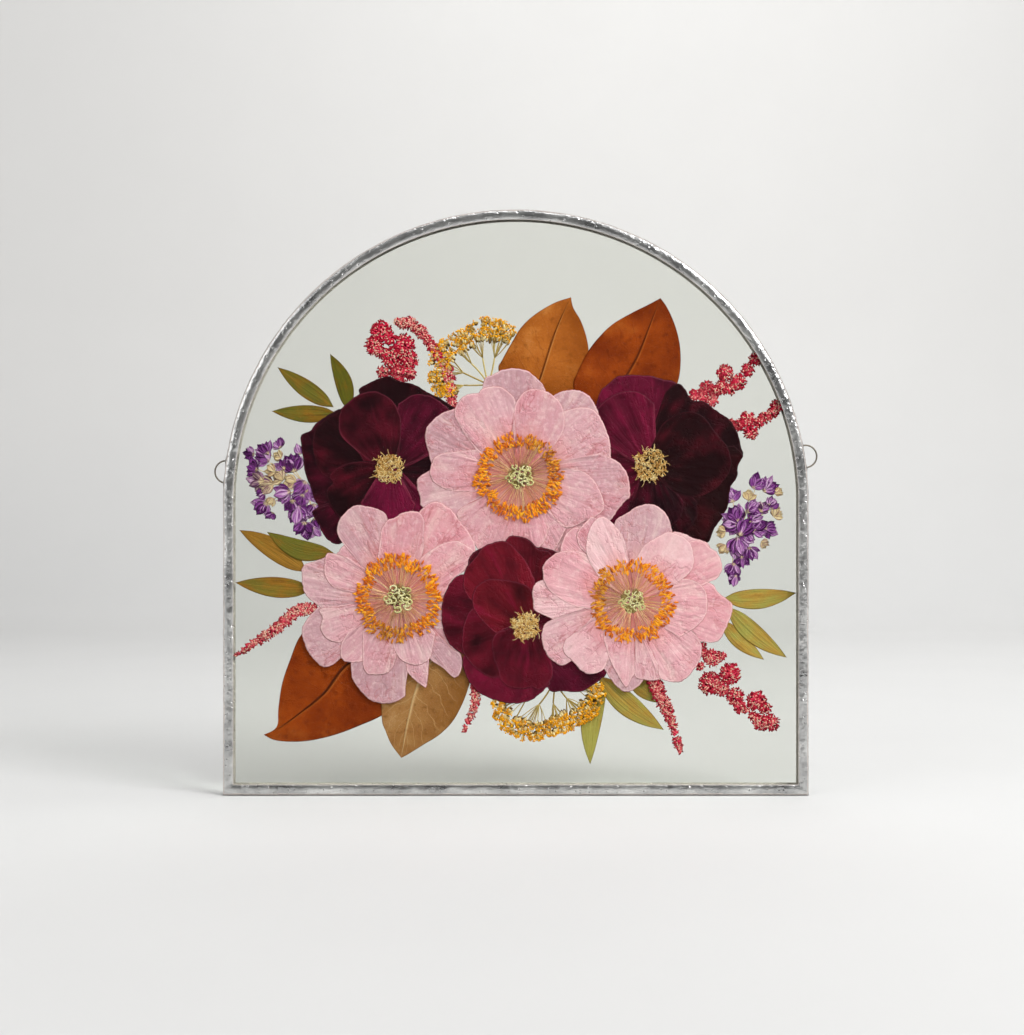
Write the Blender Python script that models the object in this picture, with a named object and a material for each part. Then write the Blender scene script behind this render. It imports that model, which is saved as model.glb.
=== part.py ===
# Pressed flower frame: two arched panes with pressed flowers between them,
# held round the edge by a soldered metal border with two wire loops.
# The frame stands upright: X is its width, Z its height, and the front faces -Y.
# The origin is the middle of the bottom edge.
import math

import bpy
import bmesh

MM = 0.001

# frame, in metres
FRAME_WIDTH = 0.305          # outside width, with a half-round crown of the same width
FRAME_HEIGHT = 0.305
ARCH_STEPS = 40              # straight runs round the crown
PANE_THICKNESS = 0.0020
PANE_GAP = 0.0031            # space between the panes, filled by the flowers
PANE_INSET = 0.0010          # from the border's outside to a pane's edge
SLOT_CLEARANCE = 0.0002      # from a pane to the border's lips
SLOT_INSET = 0.0007          # from the border's outside to the floor of its slot
LIP_WIDTH = 0.0058           # the border's width, seen from the front
LIP_THICKNESS = 0.0007
EDGE_FLAT = 0.0026           # half the width of the border's flat outer edge

# wire loops
LOOP_RADIUS = 0.0058         # to the middle of the wire
WIRE_RADIUS = 0.00045
WIRE_SIDES = 3               # bevel resolution of the wire
LOOP_X = 0.1512
LOOP_LEFT_Z = 0.1683
LOOP_RIGHT_Z = 0.1764
LOOP_GAP = 0.0004            # from a wire's end to the border
LOOP_STEPS = 12

# pressed layers, counted from the back pane
LAYER_PITCH = 0.00018
LAYER_THICKNESS = 0.00009
BACK_CLEARANCE = 0.00015
BLOOM_STEPS = 48             # points round a bloom's outline
DISC_STEPS = 30
LEAF_STEPS = 9               # points along one side of a leaf

LIP_INNER = PANE_GAP / 2 + PANE_THICKNESS + SLOT_CLEARANCE
LIP_OUTER = LIP_INNER + LIP_THICKNESS

COLOURS = {                  # 0 to 255, with roughness and metallic
    "glass": ((235, 240, 236), 0.05, 0.0),
    "solder": ((150, 150, 148), 0.35, 1.0),
    "wire": ((110, 104, 92), 0.35, 1.0),
    "peony": ((233, 184, 190), 0.8, 0.0),
    "peony_inner": ((236, 176, 180), 0.8, 0.0),
    "stamen": ((222, 140, 40), 0.8, 0.0),
    "carpel": ((205, 200, 150), 0.8, 0.0),
    "burgundy": ((70, 12, 38), 0.7, 0.0),
    "burgundy_inner": ((92, 16, 48), 0.7, 0.0),
    "straw": ((222, 190, 120), 0.8, 0.0),
    "magnolia": ((170, 90, 35), 0.6, 0.0),
    "magnolia_red": ((148, 64, 22), 0.6, 0.0),
    "magnolia_tan": ((165, 130, 85), 0.8, 0.0),
    "olive": ((125, 112, 30), 0.7, 0.0),
    "amaranth": ((190, 45, 70), 0.9, 0.0),
    "amaranth_pale": ((222, 130, 125), 0.9, 0.0),
    "yarrow": ((222, 165, 40), 0.9, 0.0),
    "larkspur": ((105, 45, 145), 0.8, 0.0),
}

# Blooms, from the back to the front. Sizes are in millimetres and angles in degrees,
# from +X towards +Z. A petal is (direction, reach, half its spread).
PEONIES = {
    "peony_top": {
        "centre": (2, 166), "layer": 6, "stamen_radius": 22.5, "carpel_radius": 6,
        "outer": [(95, 56, 27), (52, 54, 26), (24, 52, 26), (-6, 57, 24), (153, 52, 26),
                  (195, 53, 24), (232, 44, 26), (270, 38, 28), (308, 45, 26)],
        "inner": [(117, 47, 30), (68, 47, 28), (176, 46, 24), (226, 38, 26),
                  (275, 36, 28), (338, 44, 34)],
    },
    "peony_left": {
        "centre": (-61, 102.5), "layer": 8, "stamen_radius": 22.5, "carpel_radius": 6.5,
        "outer": [(113, 52, 24), (50, 56, 26), (168, 51, 24), (212, 55, 26), (258, 56, 24),
                  (287, 47, 16), (310, 52, 18), (345, 33, 30), (15, 38, 26)],
        "inner": [(85, 46, 24), (35, 45, 26), (155, 40, 26), (200, 42, 26), (225, 43, 20),
                  (252, 42, 24), (282, 36, 24)],
    },
    "peony_right": {
        "centre": (60.5, 101), "layer": 12, "stamen_radius": 21.5, "carpel_radius": 5.5,
        "outer": [(78, 51, 26), (128, 52, 22), (178, 52, 22), (205, 50, 24), (265, 49, 24),
                  (310, 50, 28), (352, 53, 26), (24, 50, 24)],
        "inner": [(112, 46, 22), (162, 47, 26), (225, 46, 24), (262, 45, 18),
                  (296, 44, 26), (332, 40, 26), (52, 40, 30), (8, 40, 26)],
    },
}
BURGUNDY = {
    "burgundy_left": {
        "centre": (-66, 170), "layer": 4, "centre_radius": 8.5,
        "outer": [(80, 48, 34), (152, 48, 28), (178, 46, 22), (218, 49, 26), (350, 40, 34),
                  (290, 32, 40)],
        "inner": [(128, 41, 34), (55, 45, 30), (203, 34, 30), (275, 28, 36)],
    },
    "burgundy_right": {
        "centre": (70, 172), "layer": 4, "centre_radius": 9.5,
        "outer": [(110, 49, 36), (42, 48, 32), (-30, 49, 32), (-75, 38, 30), (195, 26, 44)],
        "inner": [(5, 41, 34), (120, 40, 30), (-70, 30, 30)],
    },
    "burgundy_bottom": {
        "centre": (5, 88), "layer": 10, "centre_radius": 8,
        "outer": [(80, 46, 32), (120, 47, 26), (170, 44, 30), (222, 43, 26), (256, 42, 28),
                  (318, 46, 28), (10, 22, 50)],
        "inner": [(142, 34, 30), (208, 37, 28), (270, 33, 30)],
    },
}

# Leaves: base, tip, widest, and how far along the widest place is.
MAGNOLIA = [
    ("magnolia_leaf_low_left", (-76, 74), (-131, 30), 54, 0.45, 0, "magnolia_red"),
    ("magnolia_leaf_low_right", (-38, 84), (-59.5, 19), 41, 0.55, 1, "magnolia_tan"),
    ("magnolia_leaf_top_left", (8, 196), (29, 259), 41, 0.50, 2, "magnolia"),
    ("magnolia_leaf_top_right", (50, 192), (75.5, 259), 49, 0.45, 3, "magnolia"),
]
NARROW_WIDTH = 11.0
NARROW_LEAVES = [            # base, tip, layer
    ((-97, 203.5), (-124, 222.5), 1),
    ((-97, 199), (-127.5, 200.5), 0),
    ((-91, 203.5), (-97, 230), 2),
    ((-111, 119), (-144, 138), 0),
    ((-97, 126), (-130, 137), 1),
    ((-108, 107.5), (-146, 110.5), 1),
    ((110.5, 103), (145.5, 105), 0),
    ((113, 97), (141, 71.5), 1),
    ((108, 93), (129.5, 70.5), 0),
    ((45.5, 57), (39, 16), 0),
    ((46.5, 60.5), (77, 34), 1),
    ((60, 61), (75, 48), 0),
]

# Drooping tassels: the places along each one with half its width there.
AMARANTH = [
    ("amaranth_top_red", [(-61, 213, 5), (-63, 226, 10), (-68, 237, 9), (-71, 246, 3)],
     2, "amaranth"),
    ("amaranth_top_pink", [(-34, 204, 2.5), (-37, 218, 3), (-44, 235, 3), (-52, 243, 3.5),
                           (-61, 246, 1.5)], 0, "amaranth_pale"),
    ("amaranth_right_upper", [(90, 207, 2), (101, 209, 6), (111, 215, 6.5), (120, 221, 3.5),
                              (126, 228, 3)], 2, "amaranth"),
    ("amaranth_right_lower", [(112, 191, 2), (120, 194, 5), (129, 197, 4), (137, 202, 4)],
     2, "amaranth"),
    ("amaranth_left", [(-104, 97, 3.2), (-115, 96, 3.2), (-127, 85, 3), (-138, 77, 2.4),
                       (-146, 72.5, 0.9)], 2, "amaranth_pale"),
    ("amaranth_low_left", [(-21, 58, 3), (-21, 47, 3), (-24, 38, 2), (-27, 33, 0.8)],
     2, "amaranth_pale"),
    ("amaranth_low_middle", [(72, 61, 3.5), (77, 50, 4), (82, 38, 3), (86, 22.5, 1.5)],
     3, "amaranth_pale"),
    ("amaranth_low_right", [(97, 79, 2), (101, 68, 6), (106, 58, 10), (117, 49, 6),
                            (127, 43, 8), (135, 34, 3)], 2, "amaranth"),
]
TASSEL_STEPS = 4             # runs between two places along a tassel

# Flat-topped flower heads: where the stalks meet, then the rim of the head.
YARROW = [
    ("yarrow_head_top", (-14, 213), [(-1, 243), (-12, 249), (-25, 245), (-38, 238),
                                     (-46, 226), (-43, 210)], 1),
    ("yarrow_head_bottom", (20, 60), [(-12, 49), (-12, 39), (-2, 31), (10, 28), (24, 32),
                                      (38, 37), (46, 47), (44, 58)], 2),
]
LARKSPUR = {
    "larkspur_left": {"centre": (-121, 160), "layer": 2,
                      "petals": [(20, 17, 24), (70, 25, 24), (128, 26, 24), (165, 21, 24),
                                 (205, 19, 24), (245, 18, 24), (285, 21, 24), (305, 28, 20)]},
    "larkspur_right": {"centre": (119, 139), "layer": 2,
                       "petals": [(75, 27, 24), (45, 25, 24), (15, 20, 24), (-15, 17, 24),
                                  (-60, 20, 24), (-105, 29, 22), (200, 16, 26), (110, 20, 24)]},
}


def clear_scene():
    for item in list(bpy.data.objects):
        bpy.data.objects.remove(item, do_unlink=True)


def linear(value):
    value = value / 255
    if value <= 0.04045:
        return value / 12.92
    return ((value + 0.055) / 1.055) ** 2.4


def make_material(name, key):
    rgb, roughness, metallic = COLOURS[key]
    material = bpy.data.materials.new(name)
    material.use_nodes = True
    shader = material.node_tree.nodes["Principled BSDF"]
    shader.inputs["Base Color"].default_value = [linear(value) for value in rgb] + [1.0]
    shader.inputs["Roughness"].default_value = roughness
    shader.inputs["Metallic"].default_value = metallic
    if key == "glass":
        shader.inputs["Transmission Weight"].default_value = 1.0
    return material


def add_object(name, data, key):
    item = bpy.data.objects.new(name, data)
    bpy.context.scene.collection.objects.link(item)
    data.materials.append(make_material(name, key))
    return item


def arch_outline(inset):
    """The arch, moved in from the outside by inset, anticlockwise from the front."""
    radius = FRAME_WIDTH / 2 - inset
    centre_z = FRAME_HEIGHT - FRAME_WIDTH / 2
    points = [(-radius, inset), (radius, inset)]
    for step in range(ARCH_STEPS + 1):
        angle = math.pi * step / ARCH_STEPS
        points.append((radius * math.cos(angle), centre_z + radius * math.sin(angle)))
    return points


def plate(name, outline, y_back, thickness, key):
    """A flat solid with this outline in X and Z, in metres."""
    mesh = bmesh.new()
    y_front = y_back - thickness
    front = [mesh.verts.new((x, y_front, z)) for x, z in outline]
    back = [mesh.verts.new((x, y_back, z)) for x, z in outline]
    mesh.faces.new(front)
    mesh.faces.new(list(reversed(back)))
    for i in range(len(outline)):
        j = (i + 1) % len(outline)
        mesh.faces.new((front[j], front[i], back[i], back[j]))
    data = bpy.data.meshes.new(name)
    mesh.to_mesh(data)
    mesh.free()
    return add_object(name, data, key)


def layer_plate(name, outline_mm, layer, key):
    """A pressed piece on its own layer between the panes."""
    y_back = PANE_GAP / 2 - BACK_CLEARANCE - layer * LAYER_PITCH
    outline = [(x * MM, z * MM) for x, z in outline_mm]
    return plate(name, outline, y_back, LAYER_THICKNESS, key)


def border_profile():
    """The border's section, as (inset from the outside, y), round the slot for the panes."""
    front = [(0, -EDGE_FLAT), (0.0003, -LIP_OUTER + 0.0008), (0.0009, -LIP_OUTER + 0.0002),
             (0.0017, -LIP_OUTER), (0.0041, -LIP_OUTER), (0.0052, -LIP_OUTER + 0.00025),
             (LIP_WIDTH, -LIP_INNER)]
    slot = [(SLOT_INSET, -LIP_INNER), (SLOT_INSET, LIP_INNER)]
    back = [(inset, -y) for inset, y in reversed(front)]
    return front + slot + back


def make_border():
    mesh = bmesh.new()
    rings = []
    for inset, y in border_profile():
        rings.append([mesh.verts.new((x, y, z)) for x, z in arch_outline(inset)])
    stations = len(rings[0])
    for k, ring in enumerate(rings):
        other = rings[(k + 1) % len(rings)]
        for i in range(stations):
            j = (i + 1) % stations
            mesh.faces.new((ring[i], ring[j], other[j], other[i]))
    bmesh.ops.recalc_face_normals(mesh, faces=mesh.faces)
    data = bpy.data.meshes.new("solder_border")
    mesh.to_mesh(data)
    mesh.free()
    border = add_object("solder_border", data, "solder")
    data.shade_smooth()
    data.set_sharp_from_angle(angle=math.radians(35))
    return border


def outside_border(x, z):
    """How far a point stands off the border's outer edge."""
    centre_z = FRAME_HEIGHT - FRAME_WIDTH / 2
    if z < centre_z:
        return abs(x) - FRAME_WIDTH / 2
    return math.hypot(x, z - centre_z) - FRAME_WIDTH / 2


def loop_end(side, centre_z, turn):
    """The angle from the loop's outermost point to where its wire meets the border."""
    angle = math.radians(60)
    while True:
        x = side * (LOOP_X + LOOP_RADIUS * math.cos(angle))
        z = centre_z + turn * LOOP_RADIUS * math.sin(angle)
        if outside_border(x, z) < LOOP_GAP:
            return angle
        angle += math.radians(0.5)


def make_loop(name, side, centre_z):
    low = -loop_end(side, centre_z, -1)
    high = loop_end(side, centre_z, 1)
    curve = bpy.data.curves.new(name, "CURVE")
    curve.dimensions = "3D"
    curve.bevel_depth = WIRE_RADIUS
    curve.bevel_resolution = WIRE_SIDES
    curve.use_fill_caps = True
    spline = curve.splines.new("POLY")
    spline.points.add(LOOP_STEPS)
    for step in range(LOOP_STEPS + 1):
        angle = low + (high - low) * step / LOOP_STEPS
        x = side * (LOOP_X + LOOP_RADIUS * math.cos(angle))
        z = centre_z + LOOP_RADIUS * math.sin(angle)
        spline.points[step].co = (x, 0.0, z, 1.0)
    return add_object(name, curve, "wire")


def bloom_outline(centre, petals, inner_radius, steps=BLOOM_STEPS):
    """The outline of overlapping rounded petals round a centre."""
    points = []
    for step in range(steps):
        angle = 360 * step / steps
        reach = inner_radius
        for direction, length, spread in petals:
            turn = abs((angle - direction + 180) % 360 - 180)
            if turn < spread:
                reach = max(reach, length * (1 - 0.3 * (turn / spread) ** 2.5))
        x = centre[0] + reach * math.cos(math.radians(angle))
        z = centre[1] + reach * math.sin(math.radians(angle))
        points.append((x, z))
    return points


def disc_outline(centre, radius):
    return bloom_outline(centre, [], radius, DISC_STEPS)


def leaf_outline(base, tip, width, widest):
    """A leaf with a pointed base and tip; widest says how far along it is broadest."""
    dx, dz = tip[0] - base[0], tip[1] - base[1]
    length = math.hypot(dx, dz)
    power = math.log(0.5) / math.log(widest)
    right, left = [], []
    for step in range(1, LEAF_STEPS + 1):
        t = step / (LEAF_STEPS + 1)
        half = width / 2 * math.sin(math.pi * t ** power) ** 0.8
        x, z = base[0] + dx * t, base[1] + dz * t
        right.append((x + dz / length * half, z - dx / length * half))
        left.append((x - dz / length * half, z + dx / length * half))
    return [base] + right + [tip] + left[::-1]


def smooth_path(stations):
    """Points on a smooth curve through the stations, with the width eased along it."""
    points = []
    for i in range(len(stations) - 1):
        a = stations[max(i - 1, 0)]
        b, c = stations[i], stations[i + 1]
        d = stations[min(i + 2, len(stations) - 1)]
        for step in range(TASSEL_STEPS):
            t = step / TASSEL_STEPS
            points.append(tuple(
                0.5 * (2 * q + (r - p) * t + (2 * p - 5 * q + 4 * r - s) * t * t
                       + (3 * q - p - 3 * r + s) * t ** 3)
                for p, q, r, s in zip(a, b, c, d)))
    points.append(tuple(stations[-1]))
    return points


def tassel_outline(stations):
    path = smooth_path(stations)
    right, left = [], []
    for i, (x, z, half) in enumerate(path):
        before = path[max(i - 1, 0)]
        after = path[min(i + 1, len(path) - 1)]
        dx, dz = after[0] - before[0], after[1] - before[1]
        length = math.hypot(dx, dz)
        right.append((x + dz / length * half, z - dx / length * half))
        left.append((x - dz / length * half, z + dx / length * half))
    return right + left[::-1]


def make_panes():
    outline = arch_outline(PANE_INSET)
    plate("glass_back", outline, PANE_GAP / 2 + PANE_THICKNESS, PANE_THICKNESS, "glass")
    plate("glass_front", outline, -PANE_GAP / 2, PANE_THICKNESS, "glass")


def make_leaves():
    for name, base, tip, width, widest, layer, key in MAGNOLIA:
        layer_plate(name, leaf_outline(base, tip, width, widest), layer, key)
    for number, (base, tip, layer) in enumerate(NARROW_LEAVES, 1):
        outline = leaf_outline(base, tip, NARROW_WIDTH, 0.45)
        layer_plate(f"narrow_leaf_{number:02d}", outline, layer, "olive")


def make_sprigs():
    for name, stations, layer, key in AMARANTH:
        layer_plate(name, tassel_outline(stations), layer, key)
    for name, foot, rim, layer in YARROW:
        layer_plate(name, [foot] + rim, layer, "yarrow")
    for name, sprig in LARKSPUR.items():
        outline = bloom_outline(sprig["centre"], sprig["petals"], 12)
        layer_plate(name, outline, sprig["layer"], "larkspur")


def make_blooms():
    for name, bloom in BURGUNDY.items():
        centre, layer, radius = bloom["centre"], bloom["layer"], bloom["centre_radius"]
        layer_plate(f"{name}_outer_petals", bloom_outline(centre, bloom["outer"], radius + 8),
                    layer, "burgundy")
        layer_plate(f"{name}_inner_petals", bloom_outline(centre, bloom["inner"], radius + 4),
                    layer + 1, "burgundy_inner")
        layer_plate(f"{name}_centre", disc_outline(centre, radius), layer + 2, "straw")
    for name, bloom in PEONIES.items():
        centre, layer, radius = bloom["centre"], bloom["layer"], bloom["stamen_radius"]
        layer_plate(f"{name}_outer_petals", bloom_outline(centre, bloom["outer"], radius + 6),
                    layer, "peony")
        layer_plate(f"{name}_inner_petals", bloom_outline(centre, bloom["inner"], radius + 3),
                    layer + 1, "peony_inner")
        layer_plate(f"{name}_stamens", disc_outline(centre, radius), layer + 2, "stamen")
        layer_plate(f"{name}_carpels", disc_outline(centre, bloom["carpel_radius"]),
                    layer + 3, "carpel")


clear_scene()
make_panes()
make_border()
make_loop("hang_loop_left", -1, LOOP_LEFT_Z)
make_loop("hang_loop_right", 1, LOOP_RIGHT_Z)
make_leaves()
make_sprigs()
make_blooms()
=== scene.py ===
import math

import bpy
import numpy as np
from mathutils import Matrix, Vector, noise


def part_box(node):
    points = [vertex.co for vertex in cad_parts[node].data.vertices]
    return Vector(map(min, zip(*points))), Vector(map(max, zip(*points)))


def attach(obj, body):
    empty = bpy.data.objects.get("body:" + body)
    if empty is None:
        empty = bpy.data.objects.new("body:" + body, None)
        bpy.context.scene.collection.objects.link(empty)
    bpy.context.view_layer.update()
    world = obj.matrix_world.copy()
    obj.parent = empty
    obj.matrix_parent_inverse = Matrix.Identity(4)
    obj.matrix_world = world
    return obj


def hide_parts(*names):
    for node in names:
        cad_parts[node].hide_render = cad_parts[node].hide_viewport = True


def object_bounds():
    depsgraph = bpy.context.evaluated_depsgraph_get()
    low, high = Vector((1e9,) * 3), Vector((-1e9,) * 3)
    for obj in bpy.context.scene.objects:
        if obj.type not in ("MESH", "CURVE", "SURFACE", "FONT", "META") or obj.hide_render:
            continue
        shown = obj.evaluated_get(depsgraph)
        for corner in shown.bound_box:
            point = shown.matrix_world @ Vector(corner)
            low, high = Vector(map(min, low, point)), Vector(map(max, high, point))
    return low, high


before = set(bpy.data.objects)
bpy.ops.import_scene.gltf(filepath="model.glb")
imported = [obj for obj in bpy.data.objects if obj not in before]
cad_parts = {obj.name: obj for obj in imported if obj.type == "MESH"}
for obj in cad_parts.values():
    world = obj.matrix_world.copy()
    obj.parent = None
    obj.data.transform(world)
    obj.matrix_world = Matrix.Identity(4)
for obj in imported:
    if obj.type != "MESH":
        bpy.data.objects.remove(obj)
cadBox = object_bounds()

# Pressed flowers between two arched panes, bound round the edge with solder.
# Everything is in metres; the frame stands on z = 0 and its front faces -Y.
# Flat shapes are given as x and z, in millimetres.
mm = 0.001


def deselectAll():
    if bpy.context.mode != "OBJECT":
        bpy.ops.object.mode_set(mode="OBJECT")
    bpy.ops.object.select_all(action="DESELECT")


def pick(piece):
    deselectAll()
    piece.select_set(True)
    bpy.context.view_layer.objects.active = piece


def start(primitive, name, **size):
    # adds a primitive with nothing else selected, and hands it back
    deselectAll()
    primitive(**size)
    made = bpy.context.object
    made.name = name
    return made


def selectEdges(piece, wanted):
    # enters edit mode with only those edges selected for whose two ends wanted says yes
    for part in (piece.data.vertices, piece.data.edges, piece.data.polygons):
        part.foreach_set("select", np.zeros(len(part), bool))
    for edge in piece.data.edges:
        edge.select = bool(wanted(*edge.vertices))
    bpy.ops.object.mode_set(mode="EDIT")
    bpy.ops.mesh.select_mode(type="EDGE")


def getPoints(piece):
    points = np.empty(len(piece.data.vertices) * 3)
    piece.data.vertices.foreach_get("co", points)
    return points.reshape(-1, 3)


def setPoints(piece, points):
    piece.data.vertices.foreach_set("co", np.asarray(points, np.float32).ravel())
    piece.data.update()


def mark(piece, **shades):
    # writes numbers on the points, for the finishes to read
    count = len(piece.data.vertices)
    for name, values in shades.items():
        layer = piece.data.attributes.new(name, "FLOAT", "POINT")
        layer.data.foreach_set("value", np.broadcast_to(values, count).astype(np.float32))


def applyModifier(piece, kind, **settings):
    pick(piece)
    modifier = piece.modifiers.new(kind.lower(), kind)
    for key, value in settings.items():
        setattr(modifier, key, value)
    bpy.ops.object.modifier_apply(modifier=modifier.name)


def joinPieces(pieces, name):
    deselectAll()
    for piece in pieces:
        piece.select_set(True)
    bpy.context.view_layer.objects.active = pieces[0]
    if len(pieces) > 1:
        bpy.ops.object.join()
    pieces[0].name = name
    pieces[0].data.name = name
    return pieces[0]


def applyPlace(piece):
    pick(piece)
    bpy.ops.object.transform_apply(location=True, rotation=True, scale=True)


def copyMany(model, name, placed, **shades):
    # one mesh of many copies of a model; placed holds each copy's own points
    count, size = placed.shape[:2]
    corners = np.empty(len(model.data.loops), int)
    model.data.loops.foreach_get("vertex_index", corners)
    sides = np.empty(len(model.data.polygons), int)
    model.data.polygons.foreach_get("loop_total", sides)
    allCorners = (corners[None, :] + size * np.arange(count)[:, None]).ravel()
    allSides = np.tile(sides, count)
    mesh = bpy.data.meshes.new(name)
    mesh.vertices.add(count * size)
    mesh.vertices.foreach_set("co", placed.astype(np.float32).ravel())
    mesh.loops.add(len(allCorners))
    mesh.loops.foreach_set("vertex_index", allCorners.astype(np.int32))
    mesh.polygons.add(len(allSides))
    starts = np.concatenate([[0], np.cumsum(allSides)[:-1]])
    mesh.polygons.foreach_set("loop_start", starts.astype(np.int32))
    mesh.update(calc_edges=True)
    mesh.shade_smooth()
    piece = bpy.data.objects.new(name, mesh)
    bpy.context.scene.collection.objects.link(piece)
    for key, values in shades.items():
        values = np.asarray(values, float)
        if values.ndim == 1:
            values = np.repeat(values, size)
        mark(piece, **{key: values.ravel()})
    return piece


def settle(piece, node, finish):
    # the piece stands for its CAD node, rides with the frame and gets its finish
    piece.data.materials.clear()
    piece.data.materials.append(finish)
    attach(piece, "root")
    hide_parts(node)
    return piece


def smoothLine(points, count):
    # a smooth line through the points, as evenly spaced points
    points = np.asarray(points, float)
    ends = np.vstack([2 * points[0] - points[1], points, 2 * points[-1] - points[-2]])
    chords = np.hypot(*np.diff(points[:, :2], axis=0).T)
    reach = np.concatenate([[0], np.cumsum(chords)])
    turn = np.interp(np.linspace(0, reach[-1], count), reach, np.arange(len(points)))
    first = np.minimum(turn.astype(int), len(points) - 2)
    t = (turn - first)[:, None]
    a, b, c, d = (ends[first + i] for i in range(4))
    return 0.5 * (2 * b + (c - a) * t + (2 * a - 5 * b + 4 * c - d) * t ** 2
                  + (3 * b - a - 3 * c + d) * t ** 3)


def stand(flat, y):
    # flat points, as x and z, stood up in the frame at y
    return np.stack([flat[..., 0], y, flat[..., 1]], -1)


def wobble(t, rng, waves, size):
    # an uneven line: a few sine waves with chance phases
    total = np.zeros_like(t)
    for wave in waves:
        total += np.sin(wave * t * 2 * math.pi + rng.uniform(0, 2 * math.pi)) * rng.uniform(0.5, 1)
    return total * size / len(waves)


def pressedSwell(x, z):
    # the faint swell that all layers share, so that no layer cuts through its neighbour
    return 0.045 * mm * (np.sin(x / 0.0061 + 1.7 * np.sin(z / 0.017))
                         + np.sin(z / 0.0073 + 1.3 * np.sin(x / 0.013)))


def tint(red, green, blue):
    # a colour given in 0 to 255, as the shader wants it
    values = [v / 255 for v in (red, green, blue)]
    return [v / 12.92 if v <= 0.04045 else ((v + 0.055) / 1.055) ** 2.4 for v in values] + [1.0]


class Wire:
    # one socket of a material; sums written with it add their Math nodes
    def __init__(self, socket):
        self.socket = socket

    def maths(self, operation, first, second):
        tree = self.socket.id_data
        node = tree.nodes.new("ShaderNodeMath")
        node.operation = operation
        plug(tree, node.inputs[0], first)
        plug(tree, node.inputs[1], second)
        return Wire(node.outputs[0])

    def __add__(self, other):
        return self.maths("ADD", self, other)

    __radd__ = __add__

    def __sub__(self, other):
        return self.maths("SUBTRACT", self, other)

    def __rsub__(self, other):
        return self.maths("SUBTRACT", other, self)

    def __mul__(self, other):
        return self.maths("MULTIPLY", self, other)

    __rmul__ = __mul__

    def __pow__(self, other):
        return self.maths("POWER", self, other)

    def __abs__(self):
        return self.maths("ABSOLUTE", self, 0.0)


def plug(tree, socket, value):
    if isinstance(value, Wire):
        tree.links.new(value.socket, socket)
    else:
        socket.default_value = value


class Finish:
    # a material being made; constant values go straight to the shader's sockets
    def __init__(self, name, constants):
        self.material = bpy.data.materials.new(name)
        self.material.use_nodes = True
        self.tree = self.material.node_tree
        self.shader = self.tree.nodes["Principled BSDF"]
        for key, value in constants.items():
            self.shader.inputs[key].default_value = value

    def make(self, kind, settings, sockets, out=0):
        node = self.tree.nodes.new(kind)
        for key, value in settings.items():
            if key == "stops":
                while len(node.color_ramp.elements) < len(value):
                    node.color_ramp.elements.new(0.5)
                for element, (place, colour) in zip(node.color_ramp.elements, value):
                    element.position = place
                    element.color = colour
            else:
                setattr(node, key, value)
        for key, value in sockets.items():
            plug(self.tree, node.inputs[key], value)
        return Wire(node.outputs[out])

    def place(self):
        return self.make("ShaderNodeTexCoord", {}, {}, "Object")

    def across(self):
        # the piece's own map, as two numbers: across it and along it
        chart = self.make("ShaderNodeUVMap", {"uv_map": "UVMap"}, {})
        return [self.make("ShaderNodeSeparateXYZ", {}, {0: chart}, axis) for axis in (0, 1)]

    def read(self, name):
        return self.make("ShaderNodeAttribute", {"attribute_name": name}, {}, "Fac")

    def point(self, x, y, z=0.0):
        return self.make("ShaderNodeCombineXYZ", {}, {0: x, 1: y, 2: z})

    def noise(self, place, scale, detail=3.0, seed=0.0, roughness=0.5):
        return self.make("ShaderNodeTexNoise", {"noise_dimensions": "4D"},
                         {"Vector": place, "W": seed, "Scale": scale, "Detail": detail,
                          "Roughness": roughness})

    def cells(self, place, scale, feature="F1", out="Distance"):
        return self.make("ShaderNodeTexVoronoi", {"feature": feature},
                         {"Vector": place, "Scale": scale}, out)

    def fade(self, value, low, high):
        # 0 at low, 1 at high, eased between
        return self.make("ShaderNodeMapRange", {"interpolation_type": "SMOOTHSTEP"},
                         {"Value": value, "From Min": low, "From Max": high})

    def blend(self, share, first, second, way="MIX"):
        return self.make("ShaderNodeMix", {"data_type": "RGBA", "blend_type": way},
                         {0: share, 6: first, 7: second}, 2)

    def layers(self, colour, coats):
        # lays coats over a colour in turn, each given as its share and its own colour
        for share, coat in coats:
            colour = self.blend(share, colour, coat)
        return colour

    def shade(self, colour, amount):
        # a colour made darker or lighter by a number
        grey = self.make("ShaderNodeCombineColor", {}, {0: amount, 1: amount, 2: amount})
        return self.blend(1.0, colour, grey, "MULTIPLY")

    def ramp(self, value, *stops):
        # each stop is its place and its colour in 0 to 255
        stops = [(place, tint(*colour)) for place, *colour in stops]
        return self.make("ShaderNodeValToRGB", {"stops": stops}, {0: value})

    def bump(self, height, depth, strength=1.0):
        # depth is the real height of the relief, in metres
        return self.make("ShaderNodeBump", {}, {"Height": height, "Distance": depth,
                                                "Strength": strength})

    def mixIn(self, share, other):
        # another shader takes the finish's place where share is 1
        mix = self.make("ShaderNodeMixShader", {},
                        {0: share, 1: Wire(self.shader.outputs[0]), 2: other})
        plug(self.tree, self.tree.nodes["Material Output"].inputs["Surface"], mix)

    def done(self, **links):
        names = {"colour": "Base Color", "roughness": "Roughness", "normal": "Normal",
                 "metallic": "Metallic"}
        for key, value in links.items():
            plug(self.tree, self.shader.inputs[names[key]], value)
        return self.material


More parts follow.
